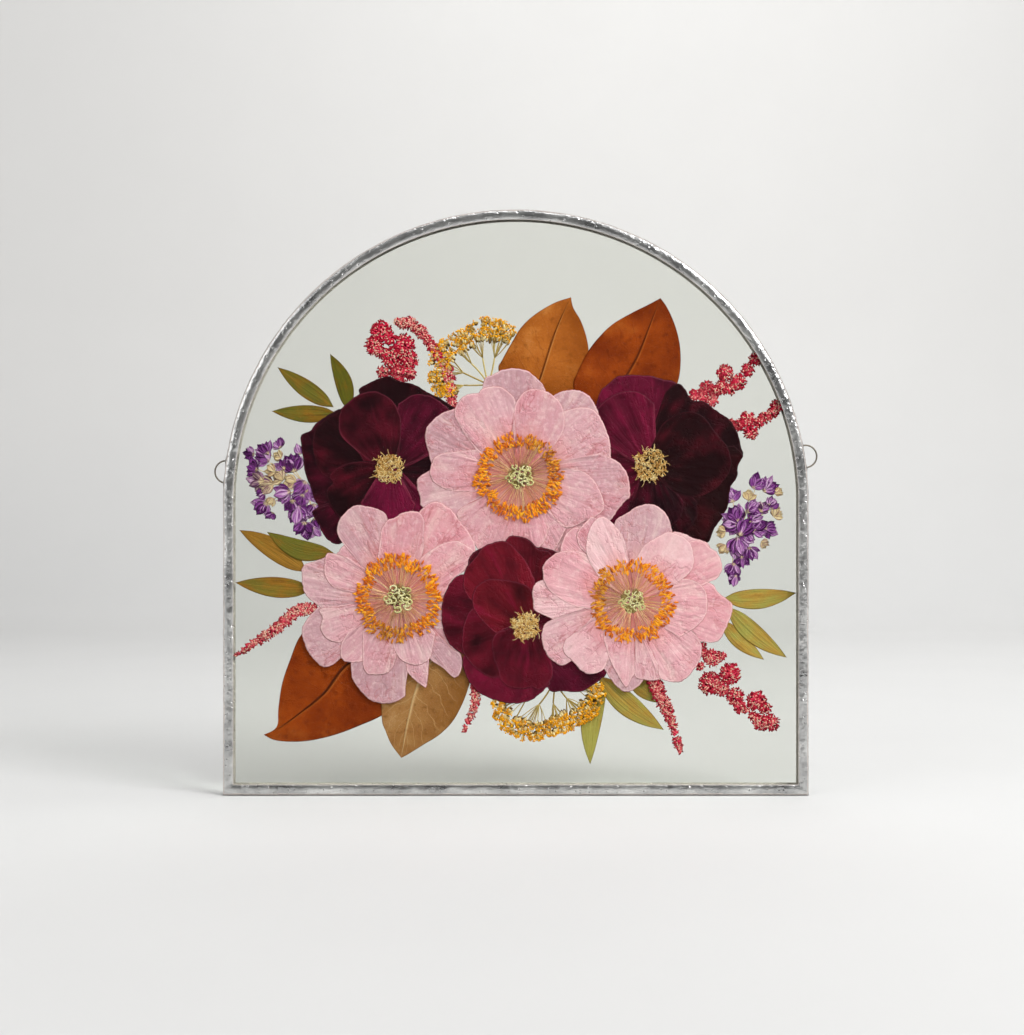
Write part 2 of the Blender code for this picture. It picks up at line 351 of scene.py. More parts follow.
studio = {
    "camera": (-0.002, -0.75, 0.1445), "lens": 50, "sensor": 36,
    "wall": (236, 235, 233), "floor": (222, 222, 221),
    "worldSeen": 0.85, "worldLight": 0.025,
    "sweepAt": 1.55, "sweepRadius": 0.5, "sweepHeight": 2.2, "floorFront": -1.6, "floorHalf": 5.5,
    "glowFrom": (1.35, 2.2),       # metres from the frame
    "lights": [  # name, place, aimed at, size, watts
        ("key", (1.25, -1.0, 1.25), (0.0, 0.0, 0.15), 0.8, 25.0),
        ("fill", (-1.4, -0.9, 0.8), (0.0, 0.0, 0.15), 1.2, 9.0),
        ("wall", (0.40, 0.1, 2.1), (0.35, 1.5, 0.35), 1.8, 36.0),
    ],
}


def lookedAt(tree):
    # 1 where a ray comes from the camera, straight or through the glass
    paths = tree.nodes.new("ShaderNodeLightPath")
    ray = {name: Wire(paths.outputs[name])
           for name in ("Is Camera Ray", "Is Transmission Ray", "Diffuse Depth")}
    looked = ray["Is Camera Ray"] + ray["Is Transmission Ray"] * (1 - ray["Diffuse Depth"])
    return looked.maths("MAXIMUM", looked, 0.0)


def makeStudio():
    bpy.context.scene.view_settings.view_transform = "Standard"
    camera = bpy.data.objects.new("camera", bpy.data.cameras.new("camera"))
    camera.location = studio["camera"]
    camera.rotation_euler = (math.radians(90), 0, 0)
    camera.data.lens = studio["lens"]
    camera.data.sensor_width = studio["sensor"]
    camera.data.clip_start = 0.01
    bpy.context.scene.collection.objects.link(camera)
    bpy.context.scene.camera = camera
    for name, place, target, size, watts in studio["lights"]:
        light = bpy.data.objects.new(name, bpy.data.lights.new(name, "AREA"))
        light.data.size = size
        light.data.energy = watts
        light.location = place
        aim = np.subtract(target, place)
        turn = math.atan2(aim[1], aim[0]) - math.pi / 2
        drop = math.atan2(np.hypot(aim[0], aim[1]), -aim[2])
        light.rotation_euler = (drop, 0, turn)
        bpy.context.scene.collection.objects.link(light)

    world = bpy.data.worlds.new("studio")
    bpy.context.scene.world = world
    world.use_nodes = True
    tree = world.node_tree
    background = tree.nodes["Background"]  # pale to look at, but hardly a light
    background.inputs["Color"].default_value = tint(*studio["wall"])
    plug(tree, background.inputs["Strength"],
         lookedAt(tree) * studio["worldSeen"] + studio["worldLight"])

    half, front, radius = studio["floorHalf"], studio["floorFront"], studio["sweepRadius"]
    back = studio["sweepAt"] - radius
    floor = start(bpy.ops.mesh.primitive_plane_add, "studio_floor", size=1)
    points = getPoints(floor)
    points[:, 0] = np.where(points[:, 0] > 0, half, -half)
    points[:, 1] = np.where(points[:, 1] > 0, back, front)
    setPoints(floor, points)
    # the far edge is turned up into a wall
    selectEdges(floor, lambda *ends: min(points[ends, 1]) > back - mm)
    bpy.ops.mesh.spin(steps=24, angle=-math.pi / 2, center=(0, back, radius), axis=(1, 0, 0))
    bpy.ops.mesh.extrude_region_move(
        TRANSFORM_OT_translate={"value": (0, 0, studio["sweepHeight"])})
    bpy.ops.object.mode_set(mode="OBJECT")
    floor.data.shade_smooth()
    finish = Finish("studio paper", {"Roughness": 0.85, "Specular IOR Level": 0.2})
    grain = finish.noise(finish.place(), 9.0, 4.0)
    x, y, rise = (finish.make("ShaderNodeSeparateXYZ", {}, {0: finish.place()},
                              axis) for axis in range(3))
    paper = finish.blend(finish.fade(rise, 0.0, 0.5), tint(*studio["floor"]),
                         tint(*studio["wall"]))
    finish.done(colour=finish.shade(paper, grain * 0.04 + 0.97))
    # far from the lights the paper is as pale to look at as the world is
    glow = finish.make("ShaderNodeEmission", {}, {"Color": tint(*studio["wall"]),
                                                  "Strength": studio["worldSeen"]})
    far = finish.fade((x * x + y * y) ** 0.5, *studio["glowFrom"])
    finish.mixIn(far * lookedAt(finish.tree), glow)
    floor.data.materials.append(finish.material)
    print("studio ready")


makeStudio()


def makeGlass():
    # two clear panes that reflect little, and that let the light through to the flowers
    finish = Finish("clear glass", {"Base Color": tint(244, 245, 242), "Roughness": 0.0,
                                    "IOR": 1.45, "Transmission Weight": 1.0,
                                    "Specular Tint": tint(38, 38, 38)})
    clear = finish.make("ShaderNodeBsdfTransparent", {}, {"Color": tint(248, 250, 248)})
    finish.mixIn(finish.make("ShaderNodeLightPath", {}, {}, "Is Shadow Ray"), clear)
    for name in ("glass_front", "glass_back"):
        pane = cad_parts[name]
        pane.data.materials.clear()
        pane.data.materials.append(finish.material)
    print("panes glazed")


makeGlass()


petalPlan = {
    "across": 76, "along": 22,     # runs in one petal's mesh
    "room": 0.17 * mm,             # depth that one whorl of petals shares
    "base": -0.14,                 # a petal starts this share of its length past the middle
    "baseWidth": 4.0 * mm,
    "ruffle": 0.55 * mm,           # unevenness of the margin
    "rimPoints": 7, "rimDrop": 0.22,  # of a plain rim, which drops towards its ends
}


def arcRim(direction, reach, spread):
    # a plain rounded rim: reach in millimetres, angles in degrees
    turns = np.linspace(-1, 1, petalPlan["rimPoints"])
    angles = np.radians(direction + spread * turns)
    lengths = reach * (1 - petalPlan["rimDrop"] * np.abs(turns) ** 2.6)
    return np.stack([lengths * np.cos(angles), lengths * np.sin(angles)], 1)


def makePetal(centre, rim, level, thick, light, blush, seed):
    rng = np.random.default_rng(seed)
    rim = np.asarray(rim, float)
    if rim.ndim > 1:
        rim = rim * mm
    else:
        rim = arcRim(*rim) * mm + centre
    middle = rim.mean(0)
    outward = (middle - centre) / np.linalg.norm(middle - centre)
    first, last = rim[0] - centre, rim[-1] - centre
    if first[0] * last[1] > first[1] * last[0]:
        rim = rim[::-1]            # clockwise from the front, so that the petal faces it
    root = centre + (middle - centre) * petalPlan["base"]
    petal = start(bpy.ops.mesh.primitive_grid_add, "petal",
                  x_subdivisions=petalPlan["across"], y_subdivisions=petalPlan["along"], size=1)
    points = getPoints(petal)
    u, v = points[:, 0] + 0.5, points[:, 1] + 0.5
    steps = petalPlan["across"] + 1
    line = smoothLine(rim, steps)
    ruffle = wobble(np.linspace(0, 1, steps), rng, (2, 5, 9, 14, 21, 32), petalPlan["ruffle"])
    line += (line - root) / np.linalg.norm(line - root, axis=1)[:, None] * ruffle[:, None]
    side = np.array([outward[1], -outward[0]]) * petalPlan["baseWidth"]
    column = np.rint(u * petalPlan["across"]).astype(int)
    foot = root + side * (u - 0.5)[:, None]
    share = 1 - (1 - v) ** 1.35
    flat = foot + (line[column] - foot) * share[:, None]
    sides = [root + (line[end] - root) * np.linspace(0, 1, 24)[:, None] for end in (0, -1)]
    outline = np.vstack([sides[0], line, sides[1]])
    edge = np.min(np.linalg.norm(flat[:, None, :] - outline[None], axis=2), axis=1)
    ripple = np.sin(u * rng.uniform(14, 22) + rng.uniform(0, 6)) * v * (1 - v) * 1.6
    y = level - pressedSwell(flat[:, 0], flat[:, 1]) - ripple * thick * 0.3
    setPoints(petal, stand(flat, y))
    mark(petal, light=light, blush=blush, seed=seed * 1.37, edge=edge / mm)
    return petal


def makeWhorl(bloom, whorl, centre, petals, finish):
    node = f"{bloom}_{whorl}_petals"
    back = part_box(node)[1].y
    pitch = petalPlan["room"] / len(petals)
    seedBase = sum(ord(letter) for letter in node) % 97
    parts = []
    for number, (light, blush, *rim) in enumerate(petals):
        level = back - pitch * (number + 1)
        parts.append(makePetal(np.array(centre) * mm, rim, level, pitch, light, blush,
                               seedBase + number))
    whole = joinPieces(parts, f"{node}_pressed")
    applyModifier(whole, "SOLIDIFY", thickness=pitch * 0.6, offset=-1.0)
    whole.data.shade_smooth()
    return settle(whole, node, finish)


def petalGrain(finish):
    # what both kinds of petal share: veins, soft folds, creases and crumpling; the crease and
    # wrinkle masks also set where shade is painted
    across, along = finish.across()
    place, seed = finish.place(), finish.read("seed")
    fine = finish.noise(finish.point(across * 56.0, along * 3.2), 1.0, 3.0, seed)
    broad = finish.noise(finish.point(across * 7.0, along * 1.7), 1.0, 2.0, seed + 7.0)
    folds = finish.noise(finish.point(across * 4.6, along * 1.3), 1.0, 3.0, seed + 3.0, 0.62)
    crease = finish.fade(abs(folds - 0.5), 0.020, 0.0)
    crumple = finish.noise(place, 420.0, 4.0, seed, 0.6)
    cloud = finish.noise(place, 62.0, 3.0, seed * 0.3)
    ridges = abs(finish.noise(place, 150.0, 3.0, seed, 0.55) - 0.5)
    wrinkleAndShade = finish.fade(ridges, 0.05, 0.0) * finish.fade(cloud, 0.40, 0.60)
    return along, fine, broad, folds, crease, crumple, cloud, wrinkleAndShade


def peonyFinish():
    finish = Finish("pressed peony petal", {"Specular IOR Level": 0.25, "Sheen Weight": 0.08,
                                            "Sheen Roughness": 0.5})
    edge, light, blush = finish.read("edge"), finish.read("light"), finish.read("blush")
    along, fine, broad, folds, crease, crumple, cloud, wrinkleAndShade = petalGrain(finish)
    base = finish.blend(light, tint(190, 144, 154), tint(240, 196, 203))
    rosy = finish.blend(broad, tint(226, 144, 148), tint(212, 140, 160))
    colour = finish.blend(finish.fade(blush + (cloud - 0.5) * 1.1, 0.0, 1.25), base, rosy)
    colour = finish.layers(colour, [
        (finish.fade(broad, 0.5, 0.28) * 0.45, tint(242, 208, 208)),
        (finish.fade(fine, 0.54, 0.80) * 0.32, tint(188, 110, 122)),
        (finish.fade(fine, 0.44, 0.22) * 0.26, tint(240, 208, 212)),
        (finish.fade(cloud, 0.54, 0.76) * 0.34, tint(204, 126, 138)),
        (finish.fade(crumple, 0.52, 0.34) * 0.26, tint(248, 222, 224)),
        # painted shade: the petal darker along its wrinkles and creases
        (wrinkleAndShade * 0.13, tint(190, 104, 114)),
        (crease * finish.fade(cloud, 0.42, 0.60) * 0.45, tint(176, 88, 94)),
        (finish.fade(along, 0.62, 0.25) * 0.55, tint(226, 132, 122)),
    ])
    # painted highlight: a pale band along the outer rim of each petal
    paintedRimHighlight = finish.fade(edge, 1.2, 0.35) * finish.fade(along, 0.5, 0.9)
    # painted shade: a dark coral line along the sides of each petal, towards its base
    paintedRimShade = finish.fade(edge, 0.9, 0.15) * finish.fade(along, 0.95, 0.6)
    colour = finish.layers(colour, [
        (paintedRimHighlight * 0.45, tint(244, 208, 210)),
        (paintedRimShade * 0.5, tint(176, 80, 84)),
        # painted shadow: a thin dark line at the very edge of each petal
        (finish.fade(edge, 0.34, 0.14) * 0.7, tint(166, 74, 82)),
    ])
    height = fine * 0.26 + broad * 1.8 + folds * 2.6 + crumple * 0.6 + cloud * 1.8 - wrinkleAndShade * 0.35
    return finish.done(colour=finish.shade(colour, broad * 0.16 + 0.92),
                       roughness=0.58 + crumple * 0.2,
                       normal=finish.bump(height, 0.55 * mm))


def burgundyFinish():
    finish = Finish("pressed burgundy petal", {"Specular IOR Level": 0.08})
    edge, light, blush = finish.read("edge"), finish.read("light"), finish.read("blush")
    _, fine, broad, folds, crease, crumple, cloud, wrinkleAndShade = petalGrain(finish)
    dark = finish.blend(blush, tint(24, 2, 10), tint(26, 2, 3))
    rich = finish.blend(blush, tint(112, 16, 54), tint(120, 22, 32))
    amount = light * 0.85 + (cloud - 0.5) * 1.1 + (broad - 0.5) * 0.8
    colour = finish.blend(finish.fade(amount, -0.02, 0.95), dark, rich)
    colour = finish.layers(colour, [
        (finish.fade(fine, 0.55, 0.8) * light * 0.4, tint(150, 44, 70)),
        # magenta streaks: partly the petals' own colour, partly painted highlight along their
        # folds
        (finish.fade(broad, 0.56, 0.72) * light * 0.35, tint(146, 16, 66)),
        # painted shade: the petal darkened along its creases
        (crease * light * 0.35, tint(20, 2, 8)),
        # painted highlight: a pale plum band along each rim
        (finish.fade(edge, 1.0, 0.4) * (finish.fade(light, 0.0, 0.5) * 0.24 + 0.06),
         tint(156, 66, 88)),
        # painted shadow: a thin near-black line at the very rim
        (finish.fade(edge, 0.45, 0.2) * 0.8, tint(14, 1, 5)),
    ])
    height = fine * 0.35 + broad * 1.6 + folds * 2.6 + crumple * 0.2 + cloud * 1.6 - wrinkleAndShade * 0.4
    return finish.done(colour=colour, roughness=0.42 + crumple * 0.16,
                       normal=finish.bump(height, 0.5 * mm))


# Each petal: how pale it is, how rosy (peonies) or how red (burgundy), then its rim,
# as points in millimetres or as a direction, a reach and half its spread.
# Petals are listed from the back to the front.
peonies = {
    "peony_top": {"centre": (2, 166), "outer": [
        (0.35, 0.60, 262, 43, 55),
        (0.35, 0.60, 308, 46, 24),
        (0.15, 0.50, 75, 36, 60),
        (0.00, 0.15, (-17, 200), (-17, 215), (-12, 219), (-5, 222), (5, 221.5), (12, 216),
         (15, 212), (18, 200)),
        (0.00, 0.25, (16, 205), (22, 209.5), (30, 211), (37, 209), (41, 204), (43, 198),
         (40, 190)),
        (0.35, 0.40, (25, 200), (33, 202), (40, 201), (44, 197), (48, 188), (49.5, 180), (49, 172),
         (44, 166)),
        (0.00, 0.20, (-28, 201), (-33, 201), (-40, 198), (-46, 192), (-47.4, 186), (-46, 180),
         (-43.5, 172), (-36, 166)),
        (0.20, 0.45, (-38, 172), (-45, 169), (-51.5, 164), (-50, 155), (-49, 150), (-40, 145),
         (-30, 142), (-22, 140)),
        (0.10, 0.40, (44, 178), (50, 175.5), (55, 172), (58.5, 166), (59.6, 156), (57, 153),
         (53, 148), (48, 142), (38, 138)),
        (0.35, 0.55, (27, 142), (26, 138), (24, 134), (20, 127), (15, 124), (8, 124)),
        (0.50, 0.80, 270, 40, 30),
        (0.35, 0.60, (-20, 154), (-28, 150), (-31, 146), (-29, 142), (-27, 138), (-22, 131),
         (-18, 126), (-10, 124)),
    ], "inner": [
        (0.28, 0.55, (-20, 158), (-28, 158), (-36, 159), (-43, 163), (-45, 168), (-43, 175),
         (-38, 178), (-30, 179), (-21, 180)),
        (0.36, 0.50, (27, 170), (35, 168.5), (41, 163.5), (45, 156), (46, 149), (42, 145),
         (35, 142), (30, 139.5), (24, 140), (18, 148)),
        (0.36, 0.50, (-21, 180), (-28, 190), (-32, 198), (-31, 203), (-27, 208), (-20, 209.5),
         (-17, 212), (-10, 213), (-4, 210), (0, 205), (-1, 197), (-2, 190)),
        (0.20, 0.60, (0, 190), (-1, 200), (1, 206), (6, 211), (14, 211), (21, 207), (25, 200),
         (25.5, 193), (24, 188), (20, 182)),
    ]},
    "peony_left": {"centre": (-61, 102.5), "outer": [
        (0.35, 0.55, 135, 40, 34),
        (0.35, 0.55, 322, 36, 40),
        (0.35, 0.55, 225, 38, 40),
        (0.00, 0.10, (-86, 72), (-86, 66), (-85, 60), (-80, 53), (-75, 49), (-70, 47.5), (-64, 48),
         (-58, 51), (-57.5, 56), (-56, 66)),
        (0.15, 0.15, (-100, 100), (-104, 97), (-110, 90), (-111.5, 84), (-109, 76), (-105, 70),
         (-100, 66.5), (-95, 68), (-91, 72)),
        (0.25, 0.20, (-92, 125), (-98, 124), (-104, 122), (-111, 119), (-111.5, 112), (-110, 105),
         (-105, 100), (-100, 96)),
        (0.15, 0.35, (-88, 128), (-93, 136), (-92, 143), (-88, 148), (-83, 151), (-76, 150),
         (-70, 148), (-67, 144.5), (-66, 134)),
        (0.80, 0.85, (-54, 142), (-50, 148), (-45, 152), (-40, 152.5), (-34, 149), (-30, 144),
         (-24, 136), (-21, 128), (-24, 118)),
        (0.10, 0.10, (-46, 78), (-45, 71), (-38, 66), (-32, 61), (-28.5, 65), (-28.5, 73),
         (-33, 76), (-40, 84)),
        (0.40, 0.40, (-56, 72), (-57, 66), (-55, 62), (-47.5, 56), (-46, 60), (-45, 72)),
        (0.35, 0.35, 345, 33, 24),
    ], "inner": [
        (0.50, 0.45, (-91, 98), (-102, 97), (-101, 92), (-102, 87), (-100, 82.5), (-96, 80),
         (-91, 79.5), (-84, 84)),
        (0.35, 0.55, (-88, 84), (-91, 79), (-91.5, 73), (-89, 69.5), (-84, 69), (-79, 70),
         (-76, 76)),
        (0.50, 0.55, (-88, 124), (-96, 126), (-99, 125), (-100, 118), (-99, 113), (-95, 108),
         (-88, 107)),
        (0.30, 0.55, (-80, 85), (-80, 75), (-79.5, 67), (-77, 62.8), (-70, 62.5), (-66, 64),
         (-63, 69), (-61, 78)),
        (0.45, 0.45, (-66, 84), (-64, 78), (-62, 73), (-58, 69), (-52, 67.5), (-47, 69), (-44, 73),
         (-42, 84)),
        (0.80, 0.75, (-52, 119), (-50, 123), (-45, 127), (-38, 131), (-31, 132.5), (-26, 130),
         (-21.5, 126), (-27, 117), (-33, 112), (-37, 104)),
        (0.30, 0.75, (-72, 124), (-71, 131), (-70, 138), (-67, 143), (-63, 144.5), (-60, 146.5),
         (-55, 148), (-50, 147), (-47.5, 142), (-48, 135), (-48, 128), (-50, 122)),
    ]},
    "peony_right": {"centre": (60.5, 101), "outer": [
        (0.50, 0.60, 130, 38, 44),
        (0.50, 0.60, 318, 34, 60),
        (0.20, 0.10, (50, 135), (52, 143), (58, 147), (64, 150.5), (70, 151.5), (76, 149),
         (80, 143), (82, 134)),
        (0.65, 0.85, (26, 120), (23, 127), (25, 134), (28, 138), (33, 139.5), (38, 136)),
        (0.70, 0.50, (78, 134), (82, 137), (88, 136), (92, 134), (100, 131), (102, 124)),
        (0.90, 0.30, (20, 113), (14, 112), (10, 110), (8.5, 106), (9, 100), (10, 96), (16, 93),
         (22, 90)),
        (0.20, 0.10, (43, 72), (45, 67), (49, 61), (53, 56), (58, 53.5), (63, 56), (67, 61),
         (68, 70)),
        (0.95, 0.85, (90, 82), (96, 80), (105, 80), (110, 88), (113, 98), (110, 102), (106, 105),
         (102, 110), (94, 112)),
        (0.85, 0.80, (96, 108), (101, 111), (105, 113), (107.5, 119), (105, 126), (101, 129),
         (95, 133), (84, 130)),
        (0.60, 0.45, (60, 72), (62, 62), (66, 60), (74, 60), (78, 66)),
        (0.55, 0.40, (32, 96), (26, 94), (20, 92), (15, 89), (13.5, 84), (14, 78), (17, 72),
         (21, 68.5), (25, 67.5), (32, 72)),
    ], "inner": [
        (0.45, 0.60, (38, 122), (37, 125), (34, 128), (32, 132), (32, 137), (36, 142), (40, 145),
         (46, 140)),
        (0.90, 0.75, (40, 118), (37, 125), (32, 127), (24, 127), (18, 124), (14, 119), (14, 115),
         (14.5, 111), (18, 106), (25, 101), (32, 98), (39, 96.5)),
        (0.90, 0.45, (40, 96), (38, 91), (33, 86), (27, 82), (25, 79), (25, 74), (29, 70),
         (35, 64), (40, 63), (46, 66), (50, 76)),
        (0.80, 0.60, (74, 68), (75, 61), (81, 59), (86, 59), (91, 63), (96, 71), (96.5, 79),
         (92, 86)),
        (0.80, 0.70, (85, 82), (92, 86), (98, 92), (100, 100), (98, 108), (92, 112), (85, 113)),
        (0.75, 0.60, (50, 90), (46, 86), (46, 80), (48, 73), (51, 66), (55, 59), (57.5, 56),
         (60, 60), (62, 65), (62, 78)),
        (0.85, 0.50, (60, 120), (63, 124), (67, 130), (73, 134), (80, 137), (88, 134), (92, 128),
         (92, 118), (84, 110)),
        (0.95, 0.30, (46, 110), (43, 114), (38, 122), (36.5, 130), (39, 140), (44, 145), (50, 142),
         (56, 134), (59, 122)),
    ]},
}

burgundies = {
    "burgundy_left": {"centre": (-66, 170), "outer": [
        (0.40, 0.10, 325, 38, 40),
        (0.20, 0.30, 210, 42, 34),
        (0.05, 0.60, (-78, 205), (-82, 211), (-76, 215), (-70, 217.5), (-66, 218), (-60, 215.5),
         (-53, 214), (-48, 211), (-40, 207), (-34, 203), (-29, 199), (-30, 186)),
        (0.12, 0.30, 5, 40, 34),
        (0.15, 0.30, (-88, 200), (-92, 201), (-98, 198), (-104, 194), (-107, 190), (-112, 187.5),
         (-112, 183), (-111, 175), (-110, 168), (-107, 160), (-104, 153), (-94, 152)),
        (0.25, 0.20, (-96, 152), (-106, 148), (-103, 141), (-100, 135), (-96, 131.5), (-91, 131),
         (-84, 138)),
        (0.10, 0.60, (-84, 202), (-92, 200), (-103, 193), (-106, 185), (-105, 176), (-102, 168),
         (-92, 162)),
        (0.45, 0.05, 280, 32, 42),
    ], "inner": [
        (0.40, 0.15, 52, 44, 30),
        (0.32, 0.55, (-76, 168), (-82, 178), (-91, 187), (-92.5, 195), (-91, 201), (-86, 206),
         (-80, 209.5), (-72, 210), (-64, 205), (-60, 196), (-60, 184)),
        (0.14, 0.60, (-80, 174), (-87, 173), (-94, 170), (-97.5, 165.5), (-95.5, 162.5),
         (-98.5, 159), (-98, 153), (-95, 148), (-91, 144), (-82, 142), (-74, 146)),
        (0.75, 0.05, 268, 30, 38),
    ]},
    "burgundy_right": {"centre": (70, 172), "outer": [
        (0.35, 0.20, 243, 43, 40),
        (0.35, 0.20, 165, 34, 40),
        (0.55, 0.15, (36, 190), (42, 204), (44, 210), (48, 214), (53, 218), (60, 219), (70, 218.5),
         (77, 216.5), (84, 214.5), (88, 204)),
        (0.02, 0.60, (78, 210), (84, 214.5), (88, 212), (92, 206), (98, 205), (105, 200),
         (112, 195), (116, 188), (117.5, 181), (118.5, 177), (112, 172)),
        (0.00, 0.80, (114, 182), (118.5, 177), (116, 172), (115.5, 166), (112, 160), (111, 152),
         (108, 145), (103, 138), (100, 131.5), (88, 132)),
        (0.50, 0.30, 195, 28, 44),
        (0.00, 0.50, 288, 40, 34),
    ], "inner": [
        (0.60, 0.20, 120, 41, 34),
        (0.12, 0.30, 278, 34, 34),
        (0.05, 0.70, (70, 178), (75, 191), (80, 196), (87, 199.5), (93, 199.5), (98, 197),
         (105, 188), (111, 180), (112, 170), (107, 162), (100, 157), (92, 155), (82, 158),
         (76, 166)),
    ]},
    "burgundy_bottom": {"centre": (5, 88), "outer": [
        (0.40, 0.60, 68, 42, 42),
        (0.40, 0.60, 124, 47, 14),
        (0.40, 0.60, 330, 36, 50),
        (0.45, 0.40, 10, 24, 50),
        (0.55, 0.75, (-10, 124), (-5, 133), (-2, 135), (5, 134), (9, 131), (12, 128), (18, 126),
         (24, 116)),
        (0.50, 0.55, (-22, 114), (-28, 115), (-33, 112), (-37, 105), (-38.5, 98), (-38.5, 90),
         (-37, 83), (-33, 77), (-27, 73)),
        (0.45, 0.20, (14, 70), (17, 55), (25, 54), (33, 53.5), (38, 56), (44, 60), (47, 63),
         (47, 70), (34, 78)),
        (0.72, 0.40, (-26, 74), (-28, 70), (-26, 62), (-22, 56), (-16, 51.5), (-8, 48.5),
         (0, 47.5), (7, 49), (13, 53), (18, 58)),
        (0.75, 0.80, (-24, 102), (-27, 107), (-27.5, 112), (-26, 118), (-21, 124), (-17, 129),
         (-10, 132), (-5, 132), (0, 128), (5, 122), (10, 112)),
        (0.55, 0.65, (-18, 98), (-23, 97), (-27, 90), (-28, 82), (-28, 76), (-25, 70), (-20, 65),
         (-13, 61), (-6, 62)),
    ], "inner": [
        (0.60, 0.85, (-2, 80), (-10, 84), (-17, 90), (-22, 97), (-22.5, 104), (-20, 109),
         (-15, 112), (-10, 112.5), (0, 111), (8, 107), (10, 98)),
        (0.50, 0.60, (-6, 86), (-10, 84.5), (-12.5, 80), (-12, 73), (-9.5, 66), (-8, 60),
         (-4, 56.5), (2, 55), (8, 56), (13, 55), (19, 62), (18, 74)),
    ]},
}


def makePetals():
    pink, burgundy = peonyFinish(), burgundyFinish()
    for blooms, finish, slot in ((burgundies, burgundy, "burgundy_petal"),
                                 (peonies, pink, "peony_petal")):
        for bloom, plan in blooms.items():
            for whorl in ("outer", "inner"):
                makeWhorl(bloom, whorl, plan["centre"], plan[whorl], finish)
    print("petals pressed")


makePetals()


def alongStrands(model, paths, width, depth, taper=0.0):
    # copies of a straight model bent along paths; a path is a start, a bend and an end
    points = getPoints(model)
    t = (points[:, 2] + 0.5)[None, :, None]
    a, b, c = (paths[:, i][:, None, :] for i in range(3))
    line = (1 - t) ** 2 * a + 2 * t * (1 - t) * b + t ** 2 * c
    course = 2 * (1 - t) * (b - a) + 2 * t * (c - b)
    flat = np.hypot(course[..., 0], course[..., 2])[..., None] + 1e-9
    side = np.stack([course[..., 2], np.zeros_like(course[..., 0]), -course[..., 0]], -1) / flat
    thin = (1 - taper * t)
    wide = np.asarray(width).reshape(-1, 1, 1) * thin
    deep = np.asarray(depth).reshape(-1, 1, 1) * thin
    return line + side * points[None, :, 0, None] * wide + np.array([0, 1, 0]) * (
        points[None, :, 1, None] * deep)


def scatterCopies(model, centres, turns, widths, depths, lengths):
    # copies laid flat in the frame: turns is each one's direction, from +X towards +Z
    points = getPoints(model)[None]
    turns = np.asarray(turns)[:, None]
    ahead = np.stack([np.cos(turns), 0 * turns, np.sin(turns)], -1)
    side = np.stack([np.sin(turns), 0 * turns, -np.cos(turns)], -1)
    column = lambda values: np.broadcast_to(values, len(turns))[:, None, None]
    return (centres[:, None, :] + side * points[..., 0, None] * column(widths)
            + np.array([0, 1, 0]) * points[..., 1, None] * column(depths)
            + ahead * points[..., 2, None] * column(lengths))


def makeThread(sides, cuts):
    # a thin stalk of unit size, cut along its length so that it can bend
    thread = start(bpy.ops.mesh.primitive_cylinder_add, "thread",
                   vertices=sides, radius=1, depth=1)
    height = getPoints(thread)[:, 2]
    selectEdges(thread, lambda a, b: abs(height[a] - height[b]) > 0.5)
    bpy.ops.mesh.subdivide(number_cuts=cuts)
    bpy.ops.object.mode_set(mode="OBJECT")
    return thread


def makeGrain(detail, pinch):
    # a small lump of unit size, pinched towards one end
    grain = start(bpy.ops.mesh.primitive_ico_sphere_add, "grain", subdivisions=detail, radius=0.5)
    points = getPoints(grain)
    points[:, :2] *= (1 - pinch * points[:, 2:3])
    setPoints(grain, points)
    return grain


thread = makeThread(4, 4)
fineGrain = makeGrain(1, 0.6)
grain = makeGrain(2, 0.5)

stamenPlan = {
    "count": 680,
    "short": 0.62,                 # share of stamens that stop short of the rim
    "seen": 0.55,                  # share of them whose filament isn't hidden by the rest
    "filament": 0.075 * mm, "anther": (0.92 * mm, 0.5 * mm, 2.5 * mm),
}


